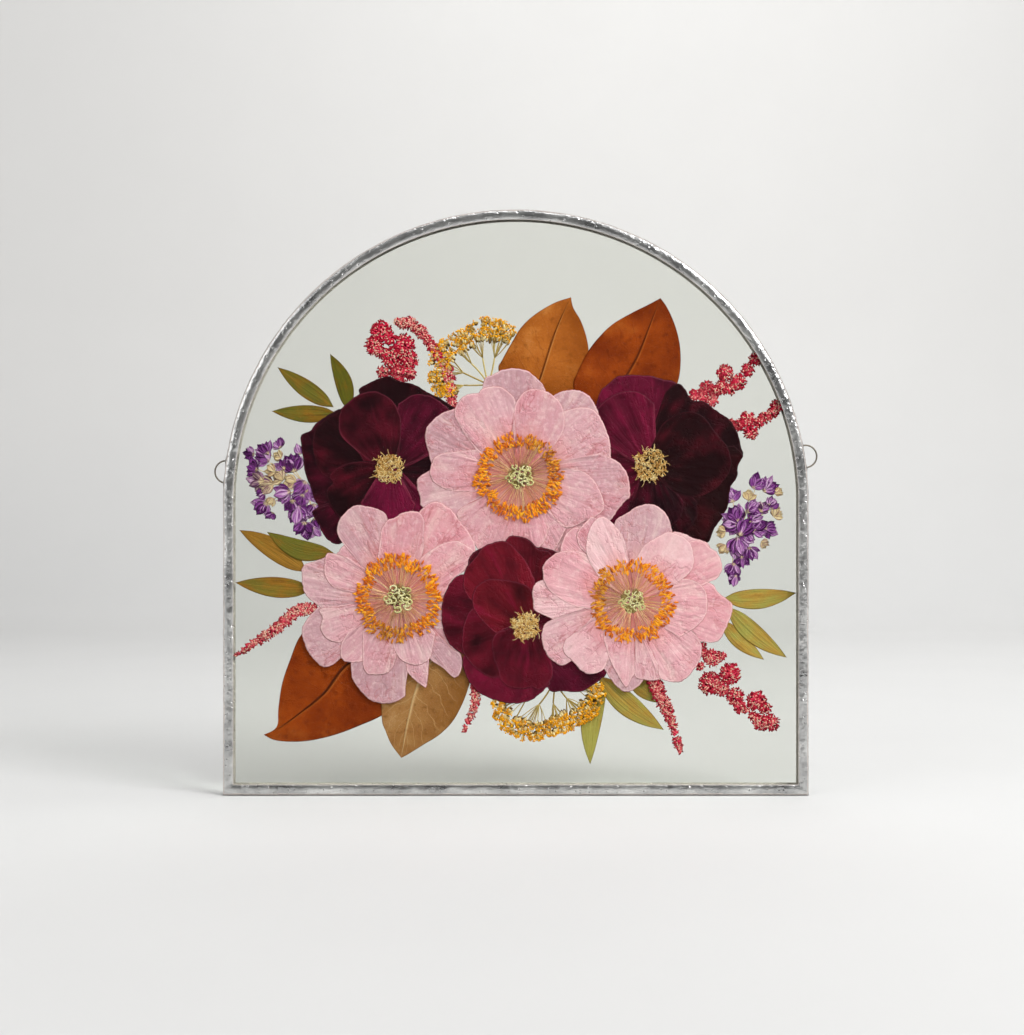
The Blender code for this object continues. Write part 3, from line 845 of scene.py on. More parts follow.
def makeStamens(bloom, centre, radius, front, dullAt, finish):
    node = f"{bloom}_stamens"
    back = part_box(node)[1].y
    count = stamenPlan["count"]
    rng = np.random.default_rng(len(node) + int(radius * 10))
    turns = rng.uniform(0, 2 * math.pi, count)
    ragged = 1 + wobble(turns / (2 * math.pi), rng, (3, 5, 8, 13), 0.09)
    short = rng.random(count) < stamenPlan["short"]
    reach = radius * ragged * np.where(short, rng.uniform(0.66, 0.86, count),
                                       rng.uniform(0.82, 0.98, count))
    rooms = rng.uniform(0.15, 1.0, count)
    height = back + (front - back) * rooms

    def at(turn, far, y):
        return np.stack([centre[0] * mm + far * mm * np.cos(turn), y,
                         centre[1] * mm + far * mm * np.sin(turn)], -1)

    startTurn = turns + rng.normal(0, 0.12, count)
    paths = np.stack([at(startTurn, rng.uniform(4.5, 6.5, count), height * 0.4 + back * 0.6),
                      at(turns + rng.normal(0, 0.07, count), reach * 0.6, height),
                      at(turns, reach, height)], 1)
    thick = stamenPlan["filament"] * rng.uniform(0.7, 1.3, count)
    drawn = np.flatnonzero(rng.random(count) < stamenPlan["seen"])
    away = np.angle(np.exp(1j * (turns - math.radians(dullAt))))
    dull = np.exp(-(away / 0.75) ** 2) * rng.uniform(0.4, 1, count)
    filaments = copyMany(thread, "filaments", alongStrands(
        thread, paths[drawn], thick[drawn], thick[drawn], 0.35),
        kind=np.zeros(len(drawn)), light=rng.random(len(drawn)), dull=dull[drawn])
    wide, deep, long = stamenPlan["anther"]
    deep = min(deep, (back - front) * 0.5)
    sizes = rng.uniform(0.75, 1.2, count)
    tips = at(turns, reach, back + (front - back) * rooms * 0.75 - deep * 0.3)
    placed = scatterCopies(grain, tips, turns + rng.normal(0, 0.45, count), wide * sizes,
                           deep, long * sizes)
    anthers = copyMany(grain, "anthers", placed, kind=np.ones(count), light=rng.random(count),
                       dull=dull)
    whole = joinPieces([filaments, anthers], f"{node}_pressed")
    return settle(whole, node, finish)


carpelPlan = {
    "pods": 9, "podSize": (3.6 * mm, 4.4 * mm),
    "rings": 19, "arcs": 5, "ring": (1.0, 1.8), "stigma": (0.46 * mm, 0.22 * mm),
    "specks": 26, "speckSize": (0.6 * mm, 0.2 * mm, 0.8 * mm),
}


def makeCarpels(bloom, centre, radius, front, finish):
    node = f"{bloom}_carpels"
    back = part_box(node)[1].y
    rng = np.random.default_rng(len(node) + int(radius * 7))
    middle = np.array([centre[0] * mm, (back + front) / 2, centre[1] * mm])
    depth = (back - front)

    def around(count, far, spreadY):
        turns = rng.uniform(0, 2 * math.pi, count)
        far = radius * mm * far * np.sqrt(rng.random(count))
        return turns, middle + np.stack([far * np.cos(turns),
                                         rng.uniform(-spreadY, spreadY, count) * depth,
                                         far * np.sin(turns)], -1)

    count = carpelPlan["pods"]
    wide, long = carpelPlan["podSize"]
    turns, places = around(count, 0.9, 0.0)
    places[:, 1] = back
    pods = copyMany(grain, "pods", scatterCopies(grain, places, turns, wide, depth * 0.4, long),
                    kind=np.zeros(count), light=rng.random(count))
    # pale stigmas, each curled into most of a ring
    rings, arcs = carpelPlan["rings"], carpelPlan["arcs"]
    turns = np.arange(rings) * 2.4 + rng.normal(0, 0.2, rings)
    far = radius * mm * np.sqrt((np.arange(rings) + 0.3) / rings)
    places = middle + np.stack([far * np.cos(turns), 0 * far, far * np.sin(turns)], -1)
    size = rng.uniform(*carpelPlan["ring"], rings)[:, None, None] * mm
    swing = rng.uniform(0, 2 * math.pi, rings)[:, None] + np.arange(arcs * 2 + 1) * 0.56
    curl = np.stack([np.cos(swing), 0 * swing, np.sin(swing) * 0.8], -1) * size
    level = front + 0.22 * mm + rng.uniform(0, 0.25, rings) * depth
    places[:, 1] = level
    curl = curl + places[:, None, :]
    paths = np.concatenate([curl[:, k * 2:k * 2 + 3] for k in range(arcs)])
    # so that each arc meets its middle
    paths[:, 1] += paths[:, 1] - (paths[:, 0] + paths[:, 2]) / 2
    stigmas = copyMany(thread, "stigmas", alongStrands(thread, paths, *carpelPlan["stigma"]),
                       kind=np.ones(rings * arcs), light=np.tile(rng.random(rings), arcs))
    count = carpelPlan["specks"]
    turns, places = around(count, 0.85, 0.2)
    places[:, 1] = front + 0.12 * mm
    specks = copyMany(fineGrain, "specks",
                      scatterCopies(fineGrain, places, turns, *carpelPlan["speckSize"]),
                      kind=np.full(count, 2.0), light=rng.random(count))
    whole = joinPieces([pods, stigmas, specks], f"{node}_pressed")
    return settle(whole, node, finish)


def stamenFinish():
    finish = Finish("peony stamens", {"Specular IOR Level": 0.3})
    light, kind = finish.read("light"), finish.read("kind")
    patch = finish.noise(finish.place(), 900.0, 2.0)
    dull = finish.read("dull")
    filament = finish.ramp(light, (0.0, 168, 78, 60), (0.15, 222, 130, 120), (0.45, 238, 160, 148),
                           (0.6, 232, 172, 108), (1.0, 255, 236, 186))
    filament = finish.blend(dull * 0.75, filament,
                            finish.ramp(light, (0.0, 96, 60, 22), (1.0, 206, 164, 92)))
    anther = finish.ramp(light * 0.75 + patch * 0.5 - 0.12, (0.0, 112, 34, 2), (0.22, 200, 88, 0),
                         (0.55, 238, 138, 2), (1.0, 252, 188, 48))
    anther = finish.blend(dull * 0.7, anther,
                          finish.ramp(light, (0.0, 92, 52, 14), (1.0, 196, 142, 60)))
    height = finish.noise(finish.place(), 1800.0, 2.0)
    return finish.done(colour=finish.blend(kind, filament, anther), roughness=0.6 + patch * 0.2,
                       normal=finish.bump(height, 0.15 * mm))


def carpelFinish():
    finish = Finish("peony carpels", {"Specular IOR Level": 0.3})
    light, kind = finish.read("light"), finish.read("kind")
    patch = finish.noise(finish.place(), 1100.0, 2.0)
    pod = finish.blend(patch, tint(84, 58, 24), tint(160, 136, 78))
    stigma = finish.ramp(light * 0.7 + patch * 0.4, (0.0, 164, 148, 88), (0.45, 206, 196, 134),
                         (1.0, 236, 228, 184))
    colour = finish.blend(finish.fade(kind, 0.4, 0.6), pod, stigma)
    colour = finish.blend(finish.fade(kind, 1.4, 1.6), colour, tint(70, 42, 20))
    return finish.done(colour=colour, roughness=0.6 + patch * 0.2,
                       normal=finish.bump(patch, 0.2 * mm))


strawPlan = {"strands": 460, "strays": 16, "thick": 0.26 * mm, "square": 0.80}


def makeStraw(bloom, centre, radius, front, finish):
    # the squarish tuft of dry stamens in the middle of a dark bloom
    node = f"{bloom}_centre"
    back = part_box(node)[1].y
    rng = np.random.default_rng(int(radius * 100) + len(node))
    count, strays = strawPlan["strands"], strawPlan["strays"]
    half = radius * strawPlan["square"]
    lean = rng.uniform(0, 0.5)
    spot = rng.uniform(-1, 1, (count, 2)) * half
    spot *= 1 - 0.22 * np.minimum(*np.abs(spot / half).T)[:, None]
    spot = spot @ np.array([[math.cos(lean), math.sin(lean)], [-math.sin(lean), math.cos(lean)]])
    heading = rng.uniform(0, 2 * math.pi, count)
    long = rng.uniform(0.7, 1.6, count)
    y = rng.uniform(front + 0.15 * mm, back, count) / mm

    def lay(spot, heading, long, y, bend):
        first = np.stack([spot[:, 0], y, spot[:, 1]], -1)
        go = lambda turn, far: np.stack([np.cos(turn) * far, 0 * far, np.sin(turn) * far], -1)
        middle = first + go(heading, long * 0.6)
        last = middle + go(heading + bend, long * 0.7)
        return (np.stack([first, middle, last], 1) + [centre[0], 0, centre[1]]) * [mm, mm, mm]

    tuft = copyMany(thread, "tuft", alongStrands(
        thread, lay(spot, heading, long, y, rng.normal(0, 1.0, count)),
        strawPlan["thick"] * rng.uniform(0.6, 1.5, count), 0.2 * mm, 0.3),
        kind=rng.uniform(0, 0.6, count), light=rng.random(count))
    turns = rng.uniform(0, 2 * math.pi, strays)
    edge = radius * rng.uniform(0.7, 0.88, strays)
    spot = np.stack([edge * np.cos(turns), edge * np.sin(turns)], -1)
    loose = copyMany(thread, "loose", alongStrands(
        thread, lay(spot, turns + rng.normal(0, 0.5, strays), rng.uniform(1.4, 3.2, strays),
                    np.full(strays, back / mm - 0.1), rng.normal(0, 1.3, strays)),
        0.15 * mm, 0.12 * mm, 0.2), kind=np.ones(strays), light=rng.uniform(0.4, 1, strays))
    whole = joinPieces([tuft, loose], f"{node}_pressed")
    return settle(whole, node, finish)


def strawFinish():
    finish = Finish("dry straw tuft", {"Specular IOR Level": 0.3})
    light = finish.read("light")
    patch = finish.noise(finish.place(), 700.0, 3.0)
    colour = finish.ramp(light * 0.8 + patch * 0.4 - 0.1, (0.0, 150, 96, 36), (0.3, 206, 152, 74),
                         (0.65, 232, 198, 128), (1.0, 246, 232, 188))
    return finish.done(colour=colour, roughness=0.6 + patch * 0.2,
                       normal=finish.bump(patch, 0.2 * mm))


# radius and front of the ring of stamens, then of the carpels, and where the ring
# is dull, in degrees
peonyHearts = {"peony_top": (23.5, -0.95 * mm, 6.4, -1.25 * mm, 40),
               "peony_left": (23.5, -1.15 * mm, 6.8, -1.4 * mm, 255),
               "peony_right": (22.5, -1.46 * mm, 6.0, -1.5 * mm, 165)}
strawHearts = {"burgundy_left": (8.8, -0.9 * mm), "burgundy_right": (10.4, -0.9 * mm),
               "burgundy_bottom": (8.4, -1.45 * mm)}


def makeHearts():
    stamens, carpels, straw = stamenFinish(), carpelFinish(), strawFinish()
    for bloom, (radius, front, podRadius, podFront, dullAt) in peonyHearts.items():
        makeStamens(bloom, peonies[bloom]["centre"], radius, front, dullAt, stamens)
        makeCarpels(bloom, peonies[bloom]["centre"], podRadius, podFront, carpels)
    for bloom, (radius, front) in strawHearts.items():
        makeStraw(bloom, burgundies[bloom]["centre"], radius, front, straw)
    print("stamens, carpels and straw laid")


makeHearts()


def makeLeaf(node, left, right, rib, across, along, relief, finish, slot, **shades):
    # margins and midrib run from the base to the tip
    leaf = start(bpy.ops.mesh.primitive_grid_add, "leaf", x_subdivisions=across,
                 y_subdivisions=along, size=1)
    points = getPoints(leaf)
    u, v = points[:, 0] * 2, points[:, 1] + 0.5
    row = np.rint(v * along).astype(int)
    left, right, rib = (smoothLine(np.asarray(line, float) * mm, along + 1)[row]
                        for line in (left, right, rib))
    margin = np.where(u[:, None] < 0, left, right)
    flat = rib + (margin - rib) * np.abs(u)[:, None]
    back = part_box(node)[1].y
    crease = np.exp(-(u / 0.05) ** 2) * relief
    y = back - 0.06 * mm - pressedSwell(flat[:, 0], flat[:, 1]) - crease
    setPoints(leaf, stand(flat, y))
    edge = (1 - np.abs(u)) * np.linalg.norm(margin - rib, axis=1) / mm
    mark(leaf, edge=edge, **shades)
    leaf.name = f"{node}_pressed"
    applyModifier(leaf, "SOLIDIFY", thickness=0.05 * mm, offset=-1.0)
    leaf.data.shade_smooth()
    return settle(leaf, node, finish)


leafPlan = {  # runs across and along, and how far the midrib stands out
    "magnolia": (44, 64, 0.07 * mm), "narrow": (14, 40, 0.04 * mm),
}
magnolias = {
    "magnolia_leaf_top_left": {
        "left": [(6, 198), (-3, 205), (-9, 221), (-7, 227), (-2, 236), (3, 244), (10, 250.5),
                 (20, 256.5), (28.8, 259.5)],
        "right": [(6, 198), (20, 203), (32, 212), (36, 225), (38, 230), (37, 238), (34, 247),
                  (30, 254), (28.8, 259.5)],
        "rib": [(6, 198), (13, 218), (20, 240), (25.5, 253), (28.8, 259.5)]},
    "magnolia_leaf_top_right": {
        "left": [(46, 193), (34, 201), (30, 213), (32, 220), (37, 230), (42, 237), (50, 245),
                 (60, 251), (69, 255.5), (75.5, 259)],
        "right": [(46, 193), (64, 195), (79, 203), (84.5, 215), (86, 225), (85.5, 235), (83, 245),
                  (79, 254), (75.5, 259)],
        "rib": [(46, 193), (50, 205), (58, 219), (64, 230), (70, 245), (75.5, 259)]},
    "magnolia_leaf_low_left": {
        "left": [(-66, 78), (-90, 88), (-106, 88), (-113, 82), (-118, 70), (-122, 58), (-124, 45),
                 (-124.5, 36), (-128, 32.5), (-131.7, 31)],
        "right": [(-66, 78), (-50, 68), (-50, 60), (-55, 52), (-62, 46), (-72, 40), (-80, 36.5),
                  (-90, 32.5), (-100, 29.5), (-112, 27.5), (-125, 28), (-131.7, 31)],
        "rib": [(-66, 78), (-88, 68), (-100, 53), (-112, 43), (-123, 35), (-131.7, 31)]},
    "magnolia_leaf_low_right": {
        "left": [(-36, 82), (-58, 80), (-69, 60), (-70, 40), (-68, 33), (-65, 26), (-59.8, 19)],
        "right": [(-36, 82), (-26, 72), (-24, 60), (-25, 55), (-28, 47), (-33, 38), (-40, 31),
                  (-48, 26), (-56, 21), (-59.8, 19)],
        "rib": [(-36, 82), (-50, 60), (-56, 40), (-59, 24), (-59.8, 19)]},
}
# base, tip, width and sideways bend in millimetres, how brown and how light it is
narrowLeaves = [
    ((-95, 202), (-124.5, 223), 9.2, 0.2, 0.25, 0.12),
    ((-93, 198.5), (-127.5, 200), 9.2, 0.3, 0.25, 0.10),
    ((-87, 200), (-97, 230), 9.0, -1.0, 0.05, 0.02),
    ((-109, 116), (-144.5, 138), 11.2, -0.6, 0.80, 0.32),
    ((-95, 126), (-130, 137), 10.7, 1.9, 0.12, 0.15),
    ((-106, 107), (-146.5, 110.5), 10.8, 0.3, 0.45, 0.20),
    ((108, 102), (146.5, 105.2), 10.6, -0.8, 0.35, 0.75),
    ((110, 98), (141.5, 71.3), 10.2, -0.8, 0.35, 0.80),
    ((107, 91), (129.6, 70.2), 8.4, -0.6, 0.35, 0.85),
    ((46, 61), (38.8, 15.5), 11.0, -1.5, 0.10, 0.85),
    ((43, 62), (77.3, 33.6), 12.0, -1.0, 0.35, 0.75),
    ((59, 62), (75.3, 47.6), 9.5, 0.0, 0.20, 0.50),
]


def magnoliaFinish(name, deep, warm, pale, ribTint, veinTint, gloss):
    finish = Finish(name, {"Specular IOR Level": 0.07})
    across, along = finish.across()
    place = finish.place()
    side = abs(across - 0.5) * 2.0
    drift = finish.noise(place, 60.0, 3.0)
    cloud = finish.noise(place, 42.0, 5.0, 3.0, 0.62)
    grit = finish.noise(place, 1000.0, 3.0, 5.0, 0.7)
    cellEdge = finish.cells(place, 700.0, "DISTANCE_TO_EDGE")
    slant = (along * 9.0 - side ** 0.8 * 2.4 + drift * 2.2) * (2 * math.pi)
    vein = finish.fade(slant.maths("SINE", slant, 0.0), 0.95, 1.0) * finish.fade(side, 1.0, 0.6)
    rib = finish.fade(side, 0.035, 0.012)
    # painted highlight: a thin pale band on one side of the midrib
    beside = finish.fade(across, 0.535, 0.515) * finish.fade(across, 0.50, 0.515)
    net = finish.fade(cellEdge, 0.09, 0.0)
    scratch = finish.noise(finish.point(across * 60.0 + along * 45.0, along * 9.0), 1.0, 2.0, 8.0)
    colour = finish.blend(finish.fade(cloud, 0.30, 0.66), deep, warm)
    colour = finish.layers(colour, [
        (finish.fade(across + (cloud - 0.5) * 0.5, 0.62, 0.98) * 0.5, deep),
        (finish.fade(cloud + (side - 0.5) * 0.15, 0.54, 0.85) * 0.75, pale),
    ])
    spots = finish.noise(place, 300.0, 2.0, 9.0)
    colour = finish.layers(colour, [
        (finish.fade(spots, 0.55, 0.70) * 0.5, finish.shade(deep, 0.7)),
        (net * 0.28, deep),
        (vein * 0.40, veinTint),
        (finish.fade(scratch, 0.70, 0.80) * 0.35, pale),
        # painted highlight beside the midrib
        (beside * 0.5, pale),
        (rib * 0.85, ribTint),
        (finish.fade(finish.read("edge"), 0.7, 0.1) * 0.55, finish.shade(deep, 0.4)),
    ])
    colour = finish.shade(colour, grit * 0.44 + 0.78)
    height = vein * 0.25 + rib * 0.8 - net * 0.2 + grit * 0.3 + cloud * 2.2
    return finish.done(colour=colour, roughness=gloss + grit * 0.2,
                       normal=finish.bump(height, 0.4 * mm))


def narrowFinish():
    finish = Finish("olive leaf", {"Specular IOR Level": 0.12})
    across, along = finish.across()
    place, seed = finish.place(), finish.read("seed")
    brown, light = finish.read("blush"), finish.read("light")
    side = abs(across - 0.5) * 2.0
    lines = finish.noise(finish.point(across * 30.0, along * 1.6), 1.0, 2.0, seed)
    cloud = finish.noise(finish.point(across * 2.2, along * 3.4), 1.0, 4.0, seed + 3.0, 0.6)
    speck = finish.noise(place, 900.0, 3.0, 1.0, 0.6)
    green = finish.blend(light, tint(88, 84, 14), tint(176, 168, 84))
    dry = finish.blend(light, tint(138, 88, 16), tint(190, 148, 66))
    colour = finish.blend(finish.fade(cloud + brown * 0.5, 0.50, 0.86), green, dry)
    colour = finish.blend(finish.fade(lines, 0.50, 0.34) * 0.7, colour, finish.shade(colour, 0.42))
    colour = finish.blend(finish.fade(lines, 0.55, 0.70) * 0.45, colour,
                          finish.shade(colour, 1.45))
    colour = finish.blend(finish.fade(side, 0.09, 0.03) * 0.4, colour, finish.shade(colour, 1.5))
    colour = finish.blend(finish.fade(cloud, 0.58, 0.72) * 0.5, colour, finish.shade(colour, 0.5))
    colour = finish.blend(finish.fade(finish.read("edge"), 0.5, 0.08) * 0.6, colour,
                          tint(84, 52, 8))
    height = lines * 0.6 + speck * 0.4 + cloud * 2.0
    return finish.done(colour=finish.shade(colour, speck * 0.4 + 0.8), roughness=0.5 + speck * 0.2,
                       normal=finish.bump(height, 0.3 * mm))


def makeLeaves():
    # deep, warm and pale tones, then the midrib's and the side veins', and the roughness
    tones = {
        "top_left": ((140, 70, 16), (184, 104, 38), (206, 142, 76), (96, 42, 10), (146, 78, 24),
                     0.46),
        "top_right": ((110, 36, 2), (154, 66, 12), (180, 98, 36), (74, 26, 4), (124, 50, 8), 0.46),
        "low_left": ((118, 40, 4), (158, 68, 12), (184, 104, 46), (52, 18, 4), (124, 50, 14),
                     0.40),
        "low_right": ((138, 88, 40), (176, 128, 78), (206, 166, 116), (204, 170, 122),
                      (200, 160, 108), 0.62),
    }
    finishes = {}
    for where, (*colours, gloss) in tones.items():
        finishes[f"magnolia_leaf_{where}"] = magnoliaFinish(
            f"magnolia leaf {where}", *[tint(*colour) for colour in colours], gloss)
    for node, plan in magnolias.items():
        makeLeaf(node, plan["left"], plan["right"], plan["rib"], *leafPlan["magnolia"],
                 finishes[node], "magnolia_leaf")
    olive = narrowFinish()
    for number, (base, tip, width, bend, brown, light) in enumerate(narrowLeaves, 1):
        base, tip = np.array(base, float), np.array(tip, float)
        along = (tip - base) / np.linalg.norm(tip - base)
        side = np.array([-along[1], along[0]])
        stations = np.linspace(0, 1, 7)
        rib = [base + (tip - base) * t + side * bend * math.sin(math.pi * t) * 2 for t in stations]
        half = [width / 2 * math.sin(math.pi * t ** 0.85) ** 0.85 for t in stations]
        left = [spot + side * h for spot, h in zip(rib, half)]
        right = [spot - side * h for spot, h in zip(rib, half)]
        makeLeaf(f"narrow_leaf_{number:02d}", left, right, rib, *leafPlan["narrow"], olive,
                 "olive_leaf", seed=number * 2.3, blush=brown, light=light)
    print("leaves pressed")


makeLeaves()


def frontRoom(x, z):
    # how far forward a sprig may stand, in y: flat behind the blooms that cover it
    front = np.full(len(x), -0.9 * mm)
    for bloom, reach in (("burgundy_left", 50), ("burgundy_right", 51), ("burgundy_bottom", 49),
                         ("peony_top", 62), ("peony_left", 62), ("peony_right", 58)):
        centre = {**peonies, **burgundies}[bloom]["centre"]
        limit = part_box(f"{bloom}_outer_petals")[1].y + 0.1 * mm
        near = np.hypot(x / mm - centre[0], z / mm - centre[1]) < reach
        front = np.where(near, np.maximum(front, limit), front)
    return front


# lobes of each sprig: x, z and radius in millimetres, and how pale it is
tassels = {
    "amaranth_top_red": [(-69, 220.5, 3.5, .4), (-61, 219.5, 5, .25), (-55.5, 219.5, 3.5, .3),
                         (-66, 238, 3.5, .1), (-71, 231, 3.2, .2), (-74, 234, 5, .1),
                         (-70, 241.5, 5.8, .1), (-64.5, 228, 5.8, .15), (-55.5, 226.7, 5, .2),
                         (-58.5, 234.5, 5.8, .1)],
    "amaranth_top_pink": [(-62, 246.5, 2, .7), (-59, 246, 3, .7), (-55.5, 246, 3.5, .7),
                          (-52, 243.5, 3.2, .8), (-49, 241, 3.5, .7), (-46, 237, 3, .6),
                          (-43.5, 233.5, 3.2, .4), (-41, 229, 3, .3), (-38, 225, 3.5, .5),
                          (-36, 221, 3.5, .6), (-35, 217, 3.5, .6), (-34.5, 212, 3.2, .6),
                          (-34, 208, 3, .5), (-33, 204, 2.8, .5)],
    "amaranth_right_upper": [(93.3, 208.5, 3, .3), (97.3, 208, 3.4, .4), (99.5, 212, 3.8, .3),
                             (102.5, 206, 3.4, .6), (104, 210.5, 3, .4), (108, 212.5, 4, .3),
                             (109, 220, 4.2, .2), (112, 211, 2.6, .4), (116, 215.3, 4.4, .2),
                             (121, 221.5, 3.6, .2), (125, 227, 3.4, .2)],
    "amaranth_right_lower": [(112, 193, 3, .4), (116, 192.7, 3.2, .4), (121, 195.4, 4.4, .2),
                             (122.5, 189, 3.8, .2), (127, 194, 3, .3), (130.5, 197, 3.4, .3),
                             (134, 199, 3, .3), (136, 202, 3.8, .2)],
    "amaranth_left": [(-105, 96, 3.4, .7), (-109, 97, 3.6, .7), (-113, 96, 3.6, .7),
                      (-117, 94, 3.4, .7), (-120, 91, 3.4, .7), (-123, 88, 3.4, .6),
                      (-126.5, 85.5, 3.2, .7), (-130, 83, 3, .7), (-133, 81, 2.6, .6),
                      (-136.5, 79, 2.4, .6), (-139.5, 77, 2, .6), (-142, 75, 1.6, .5),
                      (-144.5, 73.5, 1.2, .5), (-146, 72.5, 1, .4)],
    "amaranth_low_left": [(-21, 57, 3, .7), (-21, 53, 3, .7), (-21, 49, 2.8, .7),
                          (-22, 45, 2.5, .7), (-23.5, 41, 2.2, .7), (-25, 38, 1.8, .7),
                          (-26.3, 35, 1.4, .6), (-27, 33, 1, .6)],
    "amaranth_low_middle": [(72, 60, 3.6, .5), (73.5, 56, 4, .6), (75, 52, 4, .6),
                            (77, 48, 3.8, .6), (79, 44, 3.5, .6), (80.5, 40, 3, .6),
                            (82, 36, 2.6, .6), (83, 32, 1.8, .7), (84, 28, 2.4, .7),
                            (85, 25, 2.2, .7), (85.5, 22.6, 1.4, .6)],
    "amaranth_low_right": [(97.5, 78, 1.8, .3), (98, 74, 2.6, .3), (96, 67, 2.4, .3),
                           (102.5, 71.2, 4.8, .45), (107.5, 72.5, 2.4, .4), (101.2, 58, 6, .2),
                           (107, 55.4, 4.2, .4), (111.8, 63, 5.6, .2), (114.5, 51, 4.8, .2),
                           (117, 45.5, 3.4, .3), (120.5, 44, 1.8, .7), (130, 45, 3.2, .2),
                           (125.6, 48.7, 5.2, .2), (123.7, 40.6, 2.6, .3), (127.5, 38, 4.6, .3),
                           (133, 37.5, 4.4, .2)],
}
tasselPlan = {
    "seeds": 7.5,                  # for each square of a lobe's radius, in mm
    "seedSize": (0.85 * mm, 0.8 * mm, 1.7 * mm),
    "depth": 1.8 * mm,             # of a lobe that no bloom covers
    # the dark lumps behind each lobe, painted shade for the gaps: size for each millimetre of
    # radius, and depth
    "lump": 1.6, "lumpDeep": 0.07 * mm,
}


def makeTassel(node, lobes, finish):
    rng = np.random.default_rng(sum(ord(letter) for letter in node))
    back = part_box(node)[1].y - 0.08 * mm
    spots, turns, pale, ranks = [], [], [], []
    for rank, (x, z, radius, light) in enumerate(lobes):
        count = max(10, int(tasselPlan["seeds"] * radius ** 2))
        turn = rng.uniform(0, 2 * math.pi, count)
        share = np.sqrt(rng.random(count))
        far = radius * share * (1 + wobble(turn / (2 * math.pi), rng, (5, 8, 13), 0.10))
        spots.append(np.stack([(x + far * np.cos(turn)) * mm, share,
                               (z + far * np.sin(turn)) * mm], -1))
        turns.append(turn + rng.normal(0, 0.7, count))
        speckShare = (0.03 + (0.24 + light * 0.26) * (1 - share ** 2)) * min(radius / 3, 1)
        speck = rng.random(count) < speckShare
        pale.append(np.where(speck, 1.0, light * (0.6 + rng.uniform(-0.7, 0.7, count)) + 0.05))
        ranks.append(np.full(count, rank % 4 / 3))
    spots, turns, pale, ranks = np.vstack(spots), *map(np.concatenate, (turns, pale, ranks))
    front = frontRoom(spots[:, 0], spots[:, 2]) + 0.2 * mm
    room = np.minimum(back - front, tasselPlan["depth"])
    dome = np.sqrt(np.clip(1.02 - spots[:, 1] ** 2, 0, 1))
    rise = rng.uniform(0.25, 1, len(spots))
    spots[:, 1] = back - room * (0.35 * ranks + dome * np.where(pale > 0.9, 0.62, 0.65 * rise))
    size = rng.uniform(0.75, 1.25, len(spots)) * np.where(pale > 0.9, 0.6, 1.0)
    wide, deep, long = tasselPlan["seedSize"]
    deep = np.minimum(deep, room * 0.6 + 0.1 * mm)
    # the seeds' blush is painted light: seeds nearer a lobe's middle and further forward are
    # brighter, those at its rim and further back darker
    seeds = copyMany(fineGrain, "seeds", scatterCopies(
        fineGrain, spots, turns, wide * size, deep, long * size),
        light=pale, blush=(rise * 0.5 + rng.random(len(spots)) * 0.5) * dome ** 1.8)
    # dark lumps behind each lobe: painted shade that shows through the gaps between the seeds
    x, z, radius, light = np.array(lobes).T
    places = np.stack([x * mm, np.full(len(x), back + 0.04 * mm), z * mm], -1)
    lump = radius * tasselPlan["lump"] * mm
    shadeBacking = copyMany(grain, "shadeBacking", scatterCopies(
        grain, places, 0 * x, lump, tasselPlan["lumpDeep"], lump),
        light=light * 0.4, blush=np.zeros(len(x)))
    whole = joinPieces([seeds, shadeBacking], f"{node}_pressed")
    return settle(whole, node, finish)


def amaranthFinish():
    finish = Finish("amaranth seed heads", {"Specular IOR Level": 0.2})
    light, blush = finish.read("light"), finish.read("blush")
    patch = finish.noise(finish.place(), 1300.0, 2.0)
    # blush carries painted light here: the higher it is, the lighter the seed
    tone = blush * 0.85 + patch * 0.3 - 0.1
    red = finish.ramp(tone, (0.0, 92, 0, 22), (0.28, 182, 8, 46), (0.6, 218, 40, 78),
                      (1.0, 240, 112, 132))
    pink = finish.ramp(tone, (0.0, 126, 14, 34), (0.4, 212, 86, 94), (1.0, 242, 166, 156))
    colour = finish.blend(finish.fade(light, 0.1, 0.55), red, pink)
    colour = finish.blend(finish.fade(light, 0.8, 0.95) * 0.85, colour, tint(242, 202, 180))
    return finish.done(colour=colour, roughness=0.65 + patch * 0.2,
                       normal=finish.bump(patch, 0.2 * mm))


yarrows = {
    "yarrow_head_top": {
        "foot": (-14.5, 214), "deep": 11.0, "buds": 270, "gold": 0.0,
        "rim": [(-41, 206), (-44.5, 213), (-46, 220), (-45, 228), (-41, 235), (-36, 239),
                (-29, 243), (-22, 246.5), (-16, 249), (-10, 248.5), (-5, 246), (0, 243.5)]},
    "yarrow_head_bottom": {
        "foot": (20, 60), "deep": 8.5, "buds": 300, "gold": 0.8,
        "rim": [(-13, 49), (-12.5, 42), (-9, 36), (-3, 31.5), (4, 28.5), (11, 28), (18, 30),
                (26, 32.5), (34, 35.5), (40, 39.5), (44.5, 45), (46, 51), (44, 58)]},
}


yarrowPlan = {
    "room": 1.2 * mm, "bud": (1.25 * mm, 3.0 * mm), "shadow": (1.7 * mm, 0.1 * mm, 3.2 * mm),
    "floret": (1.0 * mm, 1.05 * mm), "floretTurns": (-0.75, 0.0, 0.8),
    "stalks": 62, "forksAt": (0.1, 0.3, 0.5, 0.7, 0.9), "forkReach": 0.42,
    "stalk": 0.2 * mm, "mainStalk": 0.42 * mm,
}


